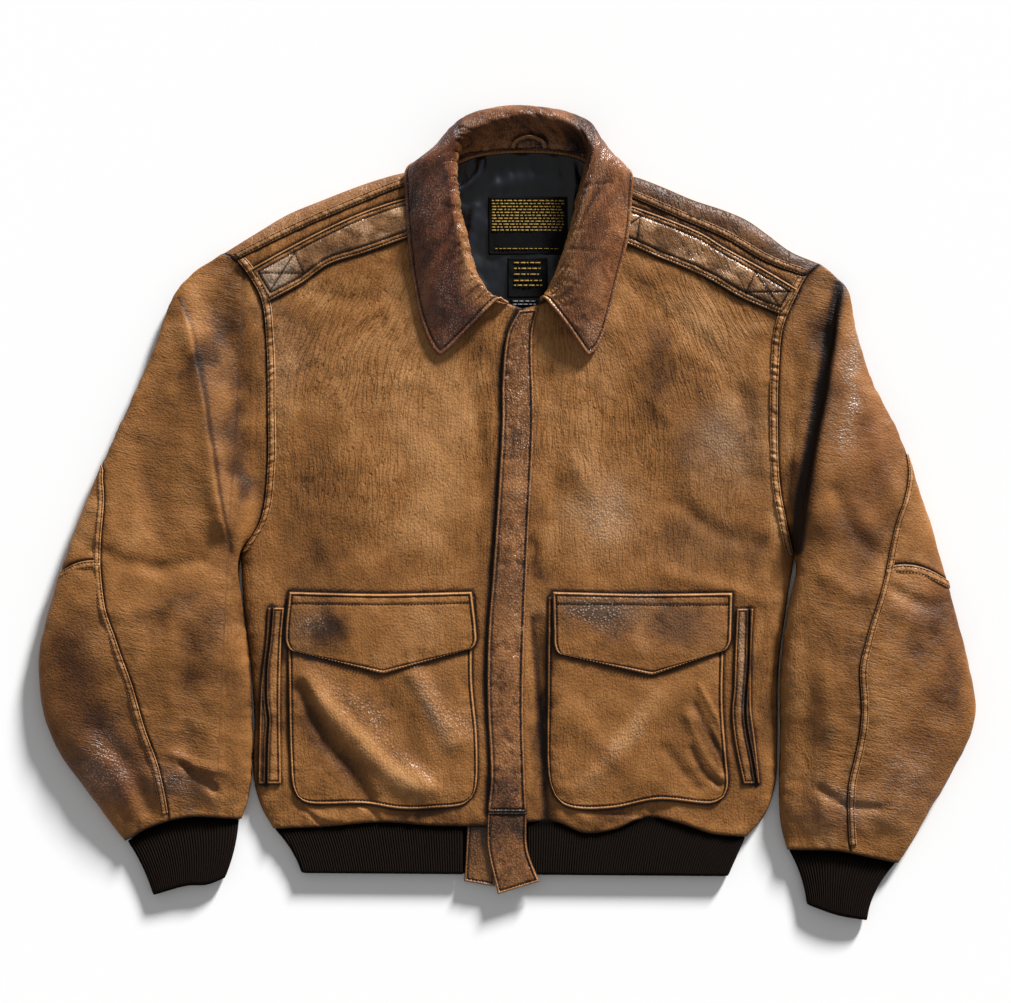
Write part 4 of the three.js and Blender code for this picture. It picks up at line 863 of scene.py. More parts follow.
def marks(spots, x, y):
    """Sum of soft ellipses, with ragged edges."""
    x = x + ragged(x, y, 3.0)
    y = y + ragged(x, y, 8.0)
    total = np.zeros(np.shape(x))
    for cx, cy, rx, ry, strength, *turn in spots:
        c, s = np.cos(np.radians(sum(turn))), np.sin(np.radians(sum(turn)))
        dx, dy = (x - cx) * c + (y - cy) * s, (y - cy) * c - (x - cx) * s
        total = total + strength * np.exp(-((dx / rx) ** 2 + (dy / ry) ** 2))
    return total


MIDDLE = COLLAR_MEETING[0]
FAN_SLOPE, FAN_FROM, FAN_FULL = 0.28, 60, 240  # slant of the shoulders' creases, from and to this height


def crinkle_run(x, y):
    """Coordinates across and along the fine creases: they hang down on the chest, fan out below
    the shoulders and lie crosswise on the sleeves."""
    fan = FAN_SLOPE * smoothstep(y, FAN_FROM, FAN_FULL) * np.where(x < MIDDLE, 1, -1)
    fan = fan * smoothstep(np.abs(x - MIDDLE), 20, 90)
    across = x - fan * (y - FAN_FROM) + 3 * swells(x, y, 60, 5.0)
    on_sleeve = np.where(x < 0, x < -262 + 0.05 * y, x > 280 - 0.05 * y)
    return np.where(on_sleeve, y + 0.2 * x, across), np.where(on_sleeve, x, y)


def crinkle_strength(x, y):
    """The creases are faint everywhere and clear on the chest."""
    strength = 0.26 + 0.5 * smoothstep(y, -80, 80) * (1 - smoothstep(np.abs(x - MIDDLE), 190, 260))
    return np.clip(strength * (0.9 + 0.7 * swells(x, y, 60, 21.0)), 0.05, 1)


def wear_and_shade(points, tone=0.0, red=0.0, ash=0.0, polish=0.0):
    """The marks at each point, with painted shade and light among them: those of its place, plus what the
    piece itself adds.
    """
    x, y = points[..., 0], points[..., 1]
    across, down = crinkle_run(x, y)
    return {"stain_and_shade": np.stack([marks(DARK_OR_LIGHT, x, y) + tone,
                               np.clip(marks(REDDENED, x, y) + red, 0, 1),
                               np.clip(marks(GREY_AND_SHEEN_SPOTS, x, y) + ash, 0, 1)], -1),
            "polish": np.clip(marks(POLISHED, x, y) + polish, 0, 1.3),
            "lie": np.stack([across, down, points[..., 2]], -1), "crease": crinkle_strength(x, y)}

# %% [markdown]
# ## Sewing a leather piece
#
# All leather pieces end in the same step: the outer and inner grids become a wall, the marks
# are worked out for every point, and the piece is made and its part in the imported model
# hidden.


def sew(name, node_name, outer, inner, finish, slot, base=None, bulge=0.1, held="laid", rests_on=(), **own):
    points, quads = closed_wall(outer, inner, bulge)
    for mark, value in own.items():
        value = np.broadcast_to(value, outer.shape[:2])
        own[mark] = on_wall(value, points, value.mean())
    looks = wear_and_shade(points, **own)
    piece = make_piece(name, points, quads, finish, looks)
    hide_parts(node_name)
    base = outer if base is None else base

# %% [markdown]
# ## Stitches
#
# A row of topstitching is a few hundred short threads that dip into the leather at both ends.
# One thread is a small capsule of four rings; a whole row is that capsule repeated along the
# line as one array.

# %% Stitch rows
STITCH_PITCH, STITCH_LENGTH, STITCH_RADIUS = 3.1, 2.3, 0.42
RING_PLACES = np.array([-0.5, -0.32, 0.32, 0.5])
RING_SIZES = np.array([0.35, 1.0, 1.0, 0.35])
RING_DROPS = np.array([-0.45, 0.1, 0.1, -0.45])
CORNERS = np.radians([45, 135, 225, 315])
POINTS_PER_STITCH, QUADS_PER_STITCH = 16, 14


def stitch_row(line):
    """Capsules along a chain of points: each is four rings of four corners, set along the line's
    direction, with its ends sunk."""
    run = run_of(line)
    count = max(int(run[-1] / STITCH_PITCH), 1)
    at = (np.arange(count) + 0.5) * run[-1] / count
    sample = lambda s: np.stack([np.interp(s, run, axis) for axis in line.T], -1)
    centre = sample(at)
    ahead = unit(sample(at + 1) - sample(at - 1))
    side = unit(np.cross(np.broadcast_to((0, 0, 1), ahead.shape), ahead))
    rise = np.cross(ahead, side)
    ring = RING_SIZES[:, None] * STITCH_RADIUS
    long = (RING_PLACES * STITCH_LENGTH)[:, None, None]
    wide = (ring * np.cos(CORNERS))[..., None]
    high = (ring * np.sin(CORNERS) + RING_DROPS[:, None] * STITCH_RADIUS * 2)[..., None]
    points = (centre[:, None, None] + ahead[:, None, None] * long + side[:, None, None] * wide
              + rise[:, None, None] * high)
    number = np.arange(POINTS_PER_STITCH).reshape(len(RING_PLACES), len(CORNERS))
    sides = quads_of(np.hstack([number, number[:, :1]]))
    ends = np.array([number[0], number[-1][::-1]])
    faces = np.vstack([sides, ends])
    first = POINTS_PER_STITCH * np.arange(count)
    return points.reshape(-1, 3), (faces[None] + first[:, None, None]).reshape(-1, 4)


def sew_rows(name, lines):
    """Many stitch rows as one piece."""
    points, quads, used = [], [], 0
    for line in lines:
        p, q = stitch_row(np.asarray(line, float))
        points.append(p)
        quads.append(q + used)
        used += len(p)
    points, quads = np.vstack(points), np.vstack(quads)
    make_piece(name, points, quads, dark_thread, {"stain_and_shade": np.zeros((len(points), 3))})
    print(name, len(quads) // QUADS_PER_STITCH, "stitches")


# %% [markdown]
# ## Seam bands
#
# At the armholes, shoulders and sleeve seams the leather is turned under and stitched down, so
# a narrow raised band runs beside the seam. It is a strip laid on its panel: the panel's own
# surface, moved up by a rounded profile and puckered across by the thread.

# %% Bands
BAND_PROFILE = np.array([0.0, 0.03, 0.08, 0.13, 0.18, 0.25, 0.38, 0.62, 0.75, 0.82, 0.87, 0.92, 0.97, 1.0])
BAND_STITCHES = (0.18, 0.82)  # places of the two stitch rows across the band


def band(name, surface, reach, width, rise, steps, tone, pucker=0.3, **own):
    """A strip on a panel. reach(t, d) gives the panel's coordinates at t along the seam and d
    millimetres from it. The profile is a quarter round at each edge, less a groove at each row of
    stitches, and puckers cross it. Returns the lines that its stitches follow."""
    t, across = np.linspace(0, 1, steps)[:, None], BAND_PROFILE[None, :]
    grid = surface(*reach(t, across * width + 0 * t))
    if normals_of(grid)[..., 2].mean() < 0:
        grid, across = grid[:, ::-1], across[:, ::-1]
    grooves = sum(bell((across - place) * width, 0.6) for place in BAND_STITCHES)
    edge = np.minimum(across, 1 - across) * width
    length = float(np.linalg.norm(np.diff(grid[:, 0], axis=0), axis=-1).sum())
    ripple = swells(t * length + 0 * across, across * width * 0.3 + 0 * t, 3.6, 31.0, 2)
    profile = (0.1 + 0.9 * rounded(edge, 1.6) - 0.5 * grooves) * (1 + pucker * ripple)
    normal = normals_of(grid)
    outer = grid + normal * (rise * profile)[..., None]
    points, quads = closed_wall(outer, grid - normal * 0.2, 0.05)
    # Painted shade in the stitched grooves and the puckers' hollows, a painted highlight inside each rounded
    # edge, and painted shade on the cut rim
    shade = tone - 0.6 * grooves + 0.15 * bell(edge - 0.6, 1.0) + 0.25 * ripple
    looks = wear_and_shade(points, on_wall(shade, points, -0.5), polish=0.2, **own)
    make_piece(name, points, quads, worn_goatskin, looks)
    print(name, 2 * len(quads), "triangles")
    return [outer[:, int(np.argmin(np.abs(across[0] - place)))] + [0, 0, 0.15] for place in BAND_STITCHES]

# %% [markdown]
# ## Fronts
#
# Each front is a large panel between the hem, the closure and neckline, the side and armhole,
# and the shoulder seam. Its grid is fine enough for folds; pebbles are left to the finish. It
# dips into every seam, because stitches pull the leather down there.

# %% Fronts
left_seam_place = place_on(left_armhole, LEFT_SEAM_END)
right_seam_place = place_on(right_armhole, RIGHT_SEAM_END)
UNDERARM_SHARE, CENTRE_SHARE = 0.5, 0.74

LEFT_FRONT = {
    "bottom": left_hem, "top": left_shoulder_seam,
    "left": joined(left_side, stretch(left_armhole, 1, left_seam_place), UNDERARM_SHARE),
    "right": joined(backwards(closure), backwards(left_neckline), CENTRE_SHARE)}
RIGHT_FRONT = {
    "bottom": right_hem, "top": right_shoulder_seam,
    "left": joined(backwards(closure), backwards(right_neckline), CENTRE_SHARE),
    "right": joined(right_side, stretch(right_armhole, 1, right_seam_place), UNDERARM_SHARE)}
LEFT_YOKE = {
    "bottom": left_shoulder_seam, "top": left_shoulder, "left": stretch(left_armhole, left_seam_place, 0),
    "right": smooth_path([LEFT_NECK, LEFT_BACK_NECK])}
RIGHT_YOKE = {
    "bottom": right_shoulder_seam, "top": right_shoulder, "left": smooth_path([RIGHT_NECK, RIGHT_BACK_NECK]),
    "right": stretch(right_armhole, right_seam_place, 0)}


def front_surface(edges):
    def surface(u, v):
        xy = patch(edges, u, v)
        return at_height(xy, front_top(xy[..., 0], xy[..., 1]))
    return surface


def fine_relief(grid, size=26.0, amount=0.6, crease=0.7, shift=0.0):
    """Small swells, and creases that run the same way as the crinkles."""
    x, y = grid[..., 0], grid[..., 1]
    across, down = crinkle_run(x, y)
    valleys = creases(across * 2.4, down, 2 * size, 50.0 + shift) * crinkle_strength(x, y)
    return amount * swells(x, y, size, 40.0 + shift) + crease * valleys


def puckers(x, y, ends, sides, amount=0.7):
    """Short ripples across the seams, where the thread has drawn the leather in."""
    beside = swells(sides * 0.3, y, 7, 33.0, 2) * np.exp(-sides / 10) * smoothstep(sides, 0, 3)
    below = swells(x, ends * 0.3, 7, 34.0, 2) * np.exp(-ends / 10) * smoothstep(ends, 0, 3)
    return amount * (beside + below)


def lifted(grid, height):
    return grid + np.stack([np.zeros_like(height), np.zeros_like(height), height], -1)


def seam_shade(near, deep, wide):
    """Darkness at a seam, and less of it beside the seam."""
    return -deep * bell(near, 1.8) - wide * np.exp(-near / 7)


def panel(name, node_name, edges, columns, rows, slot="leather_tan", tone=0.0, **own):
    """A panel of the body top: its surface, fine relief that fades into the seams, and puckers."""
    base = front_surface(edges)(spaced(columns)[None, :], spaced(rows, 0.3)[:, None])
    x, y = base[..., 0], base[..., 1]
    ends, sides = border_distances(base)
    near = np.minimum(ends, sides)
    relief = fine_relief(base) * smoothstep(near, 0, 8) + puckers(x, y, ends, sides) - 0.9 * bell(near, 1.6)
    shade = tone + 0.14 * relief + seam_shade(near, 0.45, 0.14) + shade_and_grime(x, y)
    sew(name, node_name, lifted(base, relief), base - normals_of(base) * LEATHER, worn_goatskin, slot,
        base=base, rests_on=["back"], tone=shade, **own)


panel("front_left_leather", "front_left", LEFT_FRONT, 124, 250)
panel("front_right_leather", "front_right", RIGHT_FRONT, 132, 250)
panel("yoke_left_leather", "yoke_left", LEFT_YOKE, 140, 30, slot="leather_dark", tone=0.12, ash=0.2,
      red=0.25, polish=0.35)
panel("yoke_right_leather", "yoke_right", RIGHT_YOKE, 140, 30, slot="leather_dark", tone=-0.42, ash=0.25,
      red=0.3, polish=0.15)

# %% [markdown]
# ## Back
#
# The back lies on the surface, so its outer face is the lower one. It is nearly flat, turns up
# at the sides and shoulders, and is seen only from low angles.

# %% Back
back_edges = {
    "bottom": back_hem,
    "top": joined(left_shoulder, joined(back_neckline, right_shoulder, 0.4), 0.4),
    "left": joined(left_side, backwards(left_armhole), UNDERARM_SHARE),
    "right": joined(right_side, backwards(right_armhole), UNDERARM_SHARE)}
back_xy = patch(back_edges, spaced(96, 0.85)[None, :], spaced(110, 0.7)[:, None])
back_under = at_height(back_xy, back_underside(back_xy[..., 0], back_xy[..., 1]))[:, ::-1]
back_inner = back_under - normals_of(back_under) * LEATHER
sew("back_leather", "back", back_under, back_inner, worn_goatskin, "leather_tan", rests_on=["floor"])

# %% [markdown]
# ## Sleeves
#
# A sleeve is a flattened tube. A point is found by the angle round it and the place along it:
# the angle gives the place across between its two edges as (1 - cos) / 2, and the height as a
# power of sin, so that it is flat on top and tight at its rims. Two seams divide it: one runs
# down the outer side, and one crosses behind the elbow.

# %% Sleeve lines
LEFT_SLEEVE = {
    "outer": [LEFT_SHOULDER_TIP, (-299, 228), (-317, 207), (-338, 151), (-357, 108), (-380, 58), (-409, -12),
              (-433, -83), (-445, -133), (-444, -173), (-428, -225), (-400, -264), (-364, -312)],
    "inner": [LEFT_UNDERARM, (-256.8, -50), (-252.2, -85), (-245.6, -140), (-242.5, -197), (-243.5, -249),
              (-247, -273), (-253, -291)],
    "end": [(-364, -312), (-340, -299), (-305, -289), (-253, -291)],
    "seam": [(-383, 40), (-382, 8), (-384, -43), (-380, -85), (-369, -125), (-355, -162), (-345, -194),
             (-332, -230), (-321, -292)],
    "elbow": [(-424, -55), (-385, -42)]}
RIGHT_SLEEVE = {
    "outer": [RIGHT_SHOULDER_TIP, (313, 224), (323, 212), (331, 174), (347, 124), (367, 86), (382, 50),
              (401, -7), (418, -64), (436, -135), (445, -178), (442, -204), (423, -245), (392, -299),
              (372, -333)],
    "inner": [RIGHT_UNDERARM, (274.6, -53), (266.6, -92), (259.2, -149), (259, -216), (258, -258),
              (260, -296), (266, -320)],
    "end": [(266, -320), (314, -321), (344, -327), (372, -333)],
    "seam": [(379, 50), (377, 17), (367, -14), (357, -56), (340, -121), (332, -161), (329, -230),
             (324, -257), (325, -322)],
    "elbow": [(418, -62), (361, -48)]}
SLEEVE_CROWN = [(0, BODY_HEIGHT), (0.3, 26), (0.65, 31), (0.9, 22), (1, 15)]
SLEEVE_RIM = [(0, BODY_RIM), (0.3, 9), (0.7, 10), (1, 6)]
SLEEVE_FLATNESS = [(0, 8), (0.2, 3.2), (0.7, 2.4), (1, 3)]
SLEEVE_FOLDS = [
    ([(-412, -20), (-380, -40), (-330, -52), (-290, -46)], -1.6, 7),
    ([(-420, -84), (-370, -96), (-320, -86)], 1.2, 9),
    ([(-320, 150), (-300, 60), (-296, -20)], 1.6, 14),
    ([(-352, 60), (-332, -10), (-330, -80)], -1.4, 14),
    ([(-308, -238), (-290, -252), (-278, -262)], -2.2, 4),
    ([(-316, -228), (-292, -240), (-270, -244)], 1.6, 5),
    ([(-410, -215), (-372, -250), (-350, -290)], 1.8, 10),
    ([(-388, -205), (-360, -240), (-340, -280)], -1.6, 8),
    ([(-268, -120), (-280, -200), (-276, -270)], 1.4, 10),
    ([(-300, -120), (-306, -200), (-300, -250)], -1.2, 10),
    ([(340, 120), (350, 60), (372, 10)], 1.5, 10),
    ([(310, 20), (330, -20), (352, -40)], -1.6, 8),
    ([(300, -60), (330, -76), (356, -70)], 1.3, 8),
    ([(360, -70), (392, -86), (422, -84)], -1.8, 6),
    ([(366, -92), (400, -104), (430, -98)], 1.5, 8),
    ([(300, -150), (308, -220), (300, -290)], 1.4, 11),
    ([(280, -110), (284, -190), (280, -270)], -1.2, 9),
    ([(430, -190), (398, -232), (360, -290)], 1.6, 10),
    ([(400, -180), (370, -230), (345, -290)], -1.5, 9),
    ([(296, -262), (318, -276), (352, -280)], -1.8, 5),
]


def sleeve_surface(edges):
    """A point of the flattened tube at an angle and a place along it, with its folds."""
    def surface(angle, s):
        xy = patch(edges, (1 - np.cos(angle)) / 2, 1 - s)
        x, y = xy[..., 0], xy[..., 1]
        rim = along(SLEEVE_RIM, s)
        flatness = along(SLEEVE_FLATNESS, s)
        dome = np.abs(np.sin(angle)) ** (2 / flatness)
        crown = along(SLEEVE_CROWN, s) + folds(BIG_FOLDS, x, y) + tucks(x, y)
        crown = crown + 1.4 * folds(SLEEVE_FOLDS, x, y)
        underside = rim * (1 - np.abs(np.sin(angle)) ** 0.4)
        z = np.where(np.sin(angle) >= 0, rim + (crown - rim) * dome, underside)
        return np.stack([x, y, z], -1)
    return surface


def find_on_sleeve(edges, point):
    """Place along the sleeve, and angle, at which its top passes a point of the plane."""
    s, angle = np.meshgrid(np.linspace(0, 1, 101), np.linspace(0, np.pi, 121), indexing="ij")
    miss = np.linalg.norm(patch(edges, (1 - np.cos(angle)) / 2, 1 - s) - point, axis=-1)
    k = np.unravel_index(np.argmin(miss), miss.shape)
    return s[k], angle[k]


def sleeve(side, outline, armhole, outer_is_left):
    """The three leather pieces of a sleeve, with the bands and stitches of its two seams."""
    eased = lambda path: (lambda t: path(np.asarray(t, float) ** FAN))
    outer_rail, inner_rail = smooth_path(outline["outer"]), eased(smooth_path(outline["inner"]))
    left, right = (outer_rail, inner_rail) if outer_is_left else (inner_rail, outer_rail)
    edges = {"bottom": smooth_path(outline["end"]), "top": armhole,
             "left": backwards(left), "right": backwards(right)}
    seam = [find_on_sleeve(edges, point) for point in outline["seam"]]
    outer_angle = 0.0 if outer_is_left else np.pi
    stops = [(0, outer_angle), (seam[0][0] - 0.05, outer_angle)] + seam
    seam_path = path_height(smooth_path(stops))
    seam_angle = lambda s: np.clip(seam_path(s), 0, np.pi)
    elbow_outer, elbow_inner = (find_on_sleeve(edges, point)[0] for point in outline["elbow"])
    surface = sleeve_surface(edges)

    def top_angle(w, s):
        start, end = (seam_angle(s), np.pi) if outer_is_left else (0, seam_angle(s))
        return start + (end - start) * w

    def under_angle(w, s):
        start, end = (np.pi, 2 * np.pi + seam_angle(s)) if outer_is_left else (seam_angle(s), 2 * np.pi)
        return start + (end - start) * w

    bend = seam_angle(elbow_outer)
    seen = bend / (np.pi + bend) if outer_is_left else 1 - np.pi / (2 * np.pi - bend)

    def elbow_at(w):
        from_seam = 1 - w if outer_is_left else w
        return along([(0, elbow_inner), (seen, elbow_outer), (1, elbow_outer)], from_seam)

    def piece(part, angle_of, start, end, columns, rows):
        w = spaced(columns, 0.3)[None, :]
        s = start(w) + (end(w) - start(w)) * spaced(rows, 0.3)[:, None]
        base = surface(angle_of(w, s), s)[:, ::-1]
        x, y = base[..., 0], base[..., 1]
        ends, sides = border_distances(base)
        near = np.minimum(ends, sides)
        above = smoothstep(base[..., 2], 4, 10)
        relief = above * (fine_relief(base, 30, 0.9, 0.7, 9.0) * smoothstep(near, 0, 9)
                          + puckers(x, y, ends, sides) - 0.8 * bell(near, 1.6))
        outer = base + normals_of(base) * relief[..., None]
        outer[..., 2] = np.maximum(outer[..., 2], 0)
        inner = base - normals_of(base) * LEATHER
        shade = 0.14 * relief + seam_shade(near, 0.6, 0.2) + shade_and_grime(x, y)
        sew(f"sleeve_{side}_{part}_leather", f"sleeve_{side}_{part}", outer, inner, worn_goatskin,
            "leather_tan", base=base, rests_on=["floor"], tone=shade)

    flat = lambda value: (lambda w: np.full(np.shape(w), value))
    piece("top", top_angle, flat(0.0), flat(1.0), 110, 200)
    piece("upper", under_angle, flat(0.0), elbow_at, 60, 90)
    piece("lower", under_angle, elbow_at, flat(1.0), 74, 96)

    # The outer seam's band lies on the under panel, which the seam's own side shows
    sign = -1 if outer_is_left else 1
    start = seam[0][0] - 0.012

    def beside_seam(t, d):
        s = start + (0.985 - start) * t
        angle = seam_angle(s)
        across = np.linalg.norm(surface(angle + 0.02 * sign, s) - surface(angle, s), axis=-1) / 0.02
        return angle + sign * d / np.maximum(across, 20), s

    rows = band(f"sleeve_{side}_seam_band", surface, beside_seam, 6.8, 1.0, 240, tone=0.2)

    # The elbow's band lies below its seam and runs on round the rim
    def below_elbow(t, d):
        from_seam = t * seen * 1.1
        w = 1 - from_seam if outer_is_left else from_seam
        s = elbow_at(w)
        step = under_angle(w, s + 0.01), s + 0.01
        down = np.linalg.norm(surface(*step) - surface(under_angle(w, s), s), axis=-1) / 0.01
        s = s + (d + 0.8) / np.maximum(down, 100)
        return under_angle(w, s), s

    rows += band(f"sleeve_{side}_elbow_band", surface, below_elbow, 8.0, 0.9, 70, tone=0.15)
    sew_rows(f"sleeve_{side}_stitches", rows)


sleeve("left", LEFT_SLEEVE, left_armhole, True)
sleeve("right", RIGHT_SLEEVE, backwards(right_armhole), False)

# %% [markdown]
# ## Armhole and shoulder bands
#
# The allowance of each armhole seam is turned towards the body and stitched on both sides. The
# same is done along the shoulder seam, on the yoke's side of it.

# %% Bands of the body seams
def beside_armhole(surface, inward):
    """Panel coordinates beside an armhole: a step across the panel that is d millimetres long."""
    edge = 0.0 if inward > 0 else 1.0

    def reach(t, d):
        v = UNDERARM_SHARE + (1 - UNDERARM_SHARE) * (0.004 + 0.99 * t)
        across = np.linalg.norm(surface(edge + inward * 0.01, v) - surface(edge + 0 * v, v), axis=-1) / 0.01
        return edge + inward * (d + 0.5) / across, v
    return reach


def beside_shoulder(surface):
    """Panel coordinates beside the shoulder seam: a step up the yoke that is d millimetres long."""
    def reach(t, d):
        u = 0.02 + 0.96 * t
        up = np.linalg.norm(surface(u, 0 * u + 0.05) - surface(u, 0 * u), axis=-1) / 0.05
        return u, (d + 0.6) / up
    return reach


left_front, right_front = front_surface(LEFT_FRONT), front_surface(RIGHT_FRONT)
left_yoke, right_yoke = front_surface(LEFT_YOKE), front_surface(RIGHT_YOKE)
rows = band("armhole_left_band", left_front, beside_armhole(left_front, 1), 8.0, 1.7, 280, 0.22, 0.45)
rows += band("armhole_right_band", right_front, beside_armhole(right_front, -1), 8.0, 1.7, 280, 0.12, 0.45)
rows += band("shoulder_left_band", left_yoke, beside_shoulder(left_yoke), 7.0, 1.3, 180, 0.1, ash=0.2)
rows += band("shoulder_right_band", right_yoke, beside_shoulder(right_yoke), 7.0, 1.3, 180, 0.1, ash=0.2)
sew_rows("body_seam_stitches", rows)

# %% [markdown]
# ## Pockets, flaps, straps and welts
#
# These are layers of leather on the fronts. Each is a surface between four edge curves. Its
# lower face follows the front and its upper face is one wall higher, rounded down at its edge,
# with a groove wherever a row of stitches pulls it in.

# %% Layers on the fronts
BEAD, GROOVE, PUFF = 0.5, 0.7, 0.7  # rolled edge, stitched groove and cushion of a layer


def layer(name, node_name, edges, lift, columns, rows, insets=(), lines=(), skip=(), ground=front_top,
          thickness=LEATHER, puff=PUFF, bead=BEAD, relief=None, look=None, slot="leather_tan", finish=None,
          rests_on=(), rim=0.5):
    """A layer that lies on the ground. Its edge is a rolled bead, and behind that a groove runs at
    each inset, where it is stitched. lines are more stitched lines, as (u, v) places; skip names
    sides that have no stitches. relief adds height, look adds marks. Returns the stitch lines."""
    us, vs = spaced(columns, 0.6), spaced(rows, 0.6)
    xy = patch(edges, us[None, :], vs[:, None])
    x, y = xy[..., 0], xy[..., 1]
    inner = at_height(xy, ground(x, y) + lift)
    ends, sides = border_distances(inner)
    near = np.minimum(ends, sides)
    chains = [patch(edges, *np.array(line, float).T) for line in lines]
    grooves = sum((bell(near - inset, 0.85) for inset in insets), np.zeros(near.shape))
    grooves = grooves + sum((bell(distance_to(chain, x, y), 0.9) for chain in chains), 0.0)
    top = thickness * (0.25 + 0.75 * rounded(near, 1.5)) + bead * bell(near - 1.2, 0.9)
    top = top + puff * smoothstep(near, 2, 20) - GROOVE * grooves * min(thickness / LEATHER, 1)
    bumps = fine_relief(inner, 18, 0.4, 0.5, 23.0) * smoothstep(near, 1, 6)
    bumps = bumps + puckers(x, y, ends, sides, 0.5)
    if relief is not None:
        bumps = bumps + relief(x, y, near) * smoothstep(near, 0, 4)
    outer = lifted(inner, np.maximum(top + bumps, 0.35))
    # Tone: painted shade on the bumps' hollows, at the cut edge and in the stitched grooves; the rolled bead
    # is painted paler by rim, partly as rubbed wear and partly as a painted highlight
    marks_here = {"tone": 0.14 * bumps + rim * bell(near - 1.0, 1.0) - 0.5 * bell(near, 0.45)
                  - 0.75 * np.minimum(grooves, 1)}
    for mark, value in (look(x, y, near) if look else {}).items():
        marks_here[mark] = marks_here.get(mark, 0) + value
    sew(name, node_name, outer, inner, finish or worn_goatskin, slot, base=inner, bulge=0.25,
        rests_on=rests_on, **marks_here)

    t = np.linspace(0, 1, 150)
    middle_row, middle_column = inner[len(inner) // 2], inner[:, inner.shape[1] // 2]
    width = np.linalg.norm(np.diff(middle_row, axis=0), axis=1).sum()
    length = np.linalg.norm(np.diff(middle_column, axis=0), axis=1).sum()
    paths = []
    for inset in insets:
        a, b = inset / width, inset / length
        over, up = a + (1 - 2 * a) * t, b + (1 - 2 * b) * t
        sides_uv = {"bottom": (over, b + 0 * t), "right": (1 - a + 0 * t, up), "top": (over, 1 - b + 0 * t),
                    "left": (a + 0 * t, up)}
        paths += [uv for side, uv in sides_uv.items() if side not in skip]
    paths += [(np.interp(t, np.linspace(0, 1, len(line)), np.array(line)[:, 0]),
               np.interp(t, np.linspace(0, 1, len(line)), np.array(line)[:, 1])) for line in lines]
    return [on_grid(outer, us, vs, u, v) + [0, 0, 0.25] for u, v in paths]


ON_FRONT, ON_POCKET = SEAM_GAP, 2 * SEAM_GAP + LEATHER


def flap_shadow_on_pocket(x, y, near):
    """Painted shadow on the pocket along the flap's edge."""
    under = sum(bell(distance_to(outline_of(edges), x, y), 3.4)
                for edges in (POCKET_FLAP_LEFT, POCKET_FLAP_RIGHT))
    return {"tone": -1.0 * under}


def slack(x, y, near):
    """Folds of the loose pockets, one set on each side."""
    return folds([([(-196, -165), (-174, -215), (-152, -242), (-136, -272)], -2.2, 9),
                  ([(-194, -158), (-174, -182), (-148, -208), (-118, -237), (-80, -262)], 2.6, 11),
                  ([(-92, -155), (-66, -195), (-54, -219)], 2.2, 8),
                  ([(-126, -162), (-98, -200), (-84, -232)], -1.0, 9),
                  ([(178, -182), (192, -212), (205, -232)], -1.5, 3),
                  ([(171, -194), (187, -228), (202, -250)], 1.2, 4),
                  ([(182, -164), (196, -190), (206, -212)], 1.2, 3),
                  ([(174, -224), (187, -248), (201, -258)], -1.5, 3),
                  ([(190, -200), (200, -226), (206, -246)], -0.9, 2.2),
                  ([(72, -256), (92, -236), (115, -209), (142, -176)], 2.0, 9)], x, y)


TOP_FOLD = [[(0.02, 0.83), (0.5, 0.88), (0.98, 0.83)]]  # the row of stitches below a flap's top
detail_rows = []
for side, edges in (("left", POCKET_LEFT), ("right", POCKET_RIGHT)):
    detail_rows += layer(f"pocket_{side}_leather", f"pocket_{side}", edges, ON_FRONT, 108, 120, (3.0,),
                         skip=("top",), relief=slack, look=flap_shadow_on_pocket, rests_on=[f"front_{side}_leather"])
for side, edges in (("left", POCKET_FLAP_LEFT), ("right", POCKET_FLAP_RIGHT)):
    detail_rows += layer(f"pocket_flap_{side}_leather", f"pocket_flap_{side}", edges, ON_POCKET, 130, 56,
                         (3.0,), TOP_FOLD, slot="leather_dark", rests_on=[f"pocket_{side}_leather"],
                         skip=("top",))


def strap_look(x, y, near):
    """Tan edges round a darker middle, scuffed and polished; the left strap's end is rubbed grey."""
    middle = smoothstep(near, 4.5, 6.5)
    scuffs = np.clip(swells(x, y, 15, 91.0), 0, 1)
    rubbed = middle * (1 - smoothstep(x, -212, -190))
    return {"tone": middle * (0.6 * scuffs - 0.25) + 0.4 * rubbed, "ash": 0.1 + 0.3 * middle + 0.5 * rubbed,
            "polish": 0.2 + middle * (0.25 + 0.5 * scuffs) + 0.3 * rubbed}


def strap_panel(x, y, near):
    """The middle of a strap stands up between its inner stitches, and is dented."""
    return 0.7 * smoothstep(near, 6.2, 8.5) + 0.7 * swells(x, y, 12, 92.0, 2)


STRAP_ROWS = (2.0, 6.0)
BOX_LEFT = [[(0.235, 0.16), (0.235, 0.84)], [(0.03, 0.2), (0.235, 0.8)], [(0.03, 0.8), (0.235, 0.2)]]
BOX_RIGHT = [[(0.775, 0.16), (0.775, 0.84)], [(0.775, 0.2), (0.97, 0.8)], [(0.775, 0.8), (0.97, 0.2)],
             [(0.14, 0.16), (0.14, 0.84)], [(0.03, 0.2), (0.14, 0.8)]]
for side, edges, box in (("left", STRAP_LEFT, BOX_LEFT), ("right", STRAP_RIGHT, BOX_RIGHT)):
    detail_rows += layer(f"strap_{side}_leather", f"strap_{side}", edges, ON_FRONT, 150, 46, STRAP_ROWS, box,
                         relief=strap_panel, look=strap_look, slot="leather_dark", finish=polished_goatskin,
                         rests_on=[f"front_{side}_leather"])


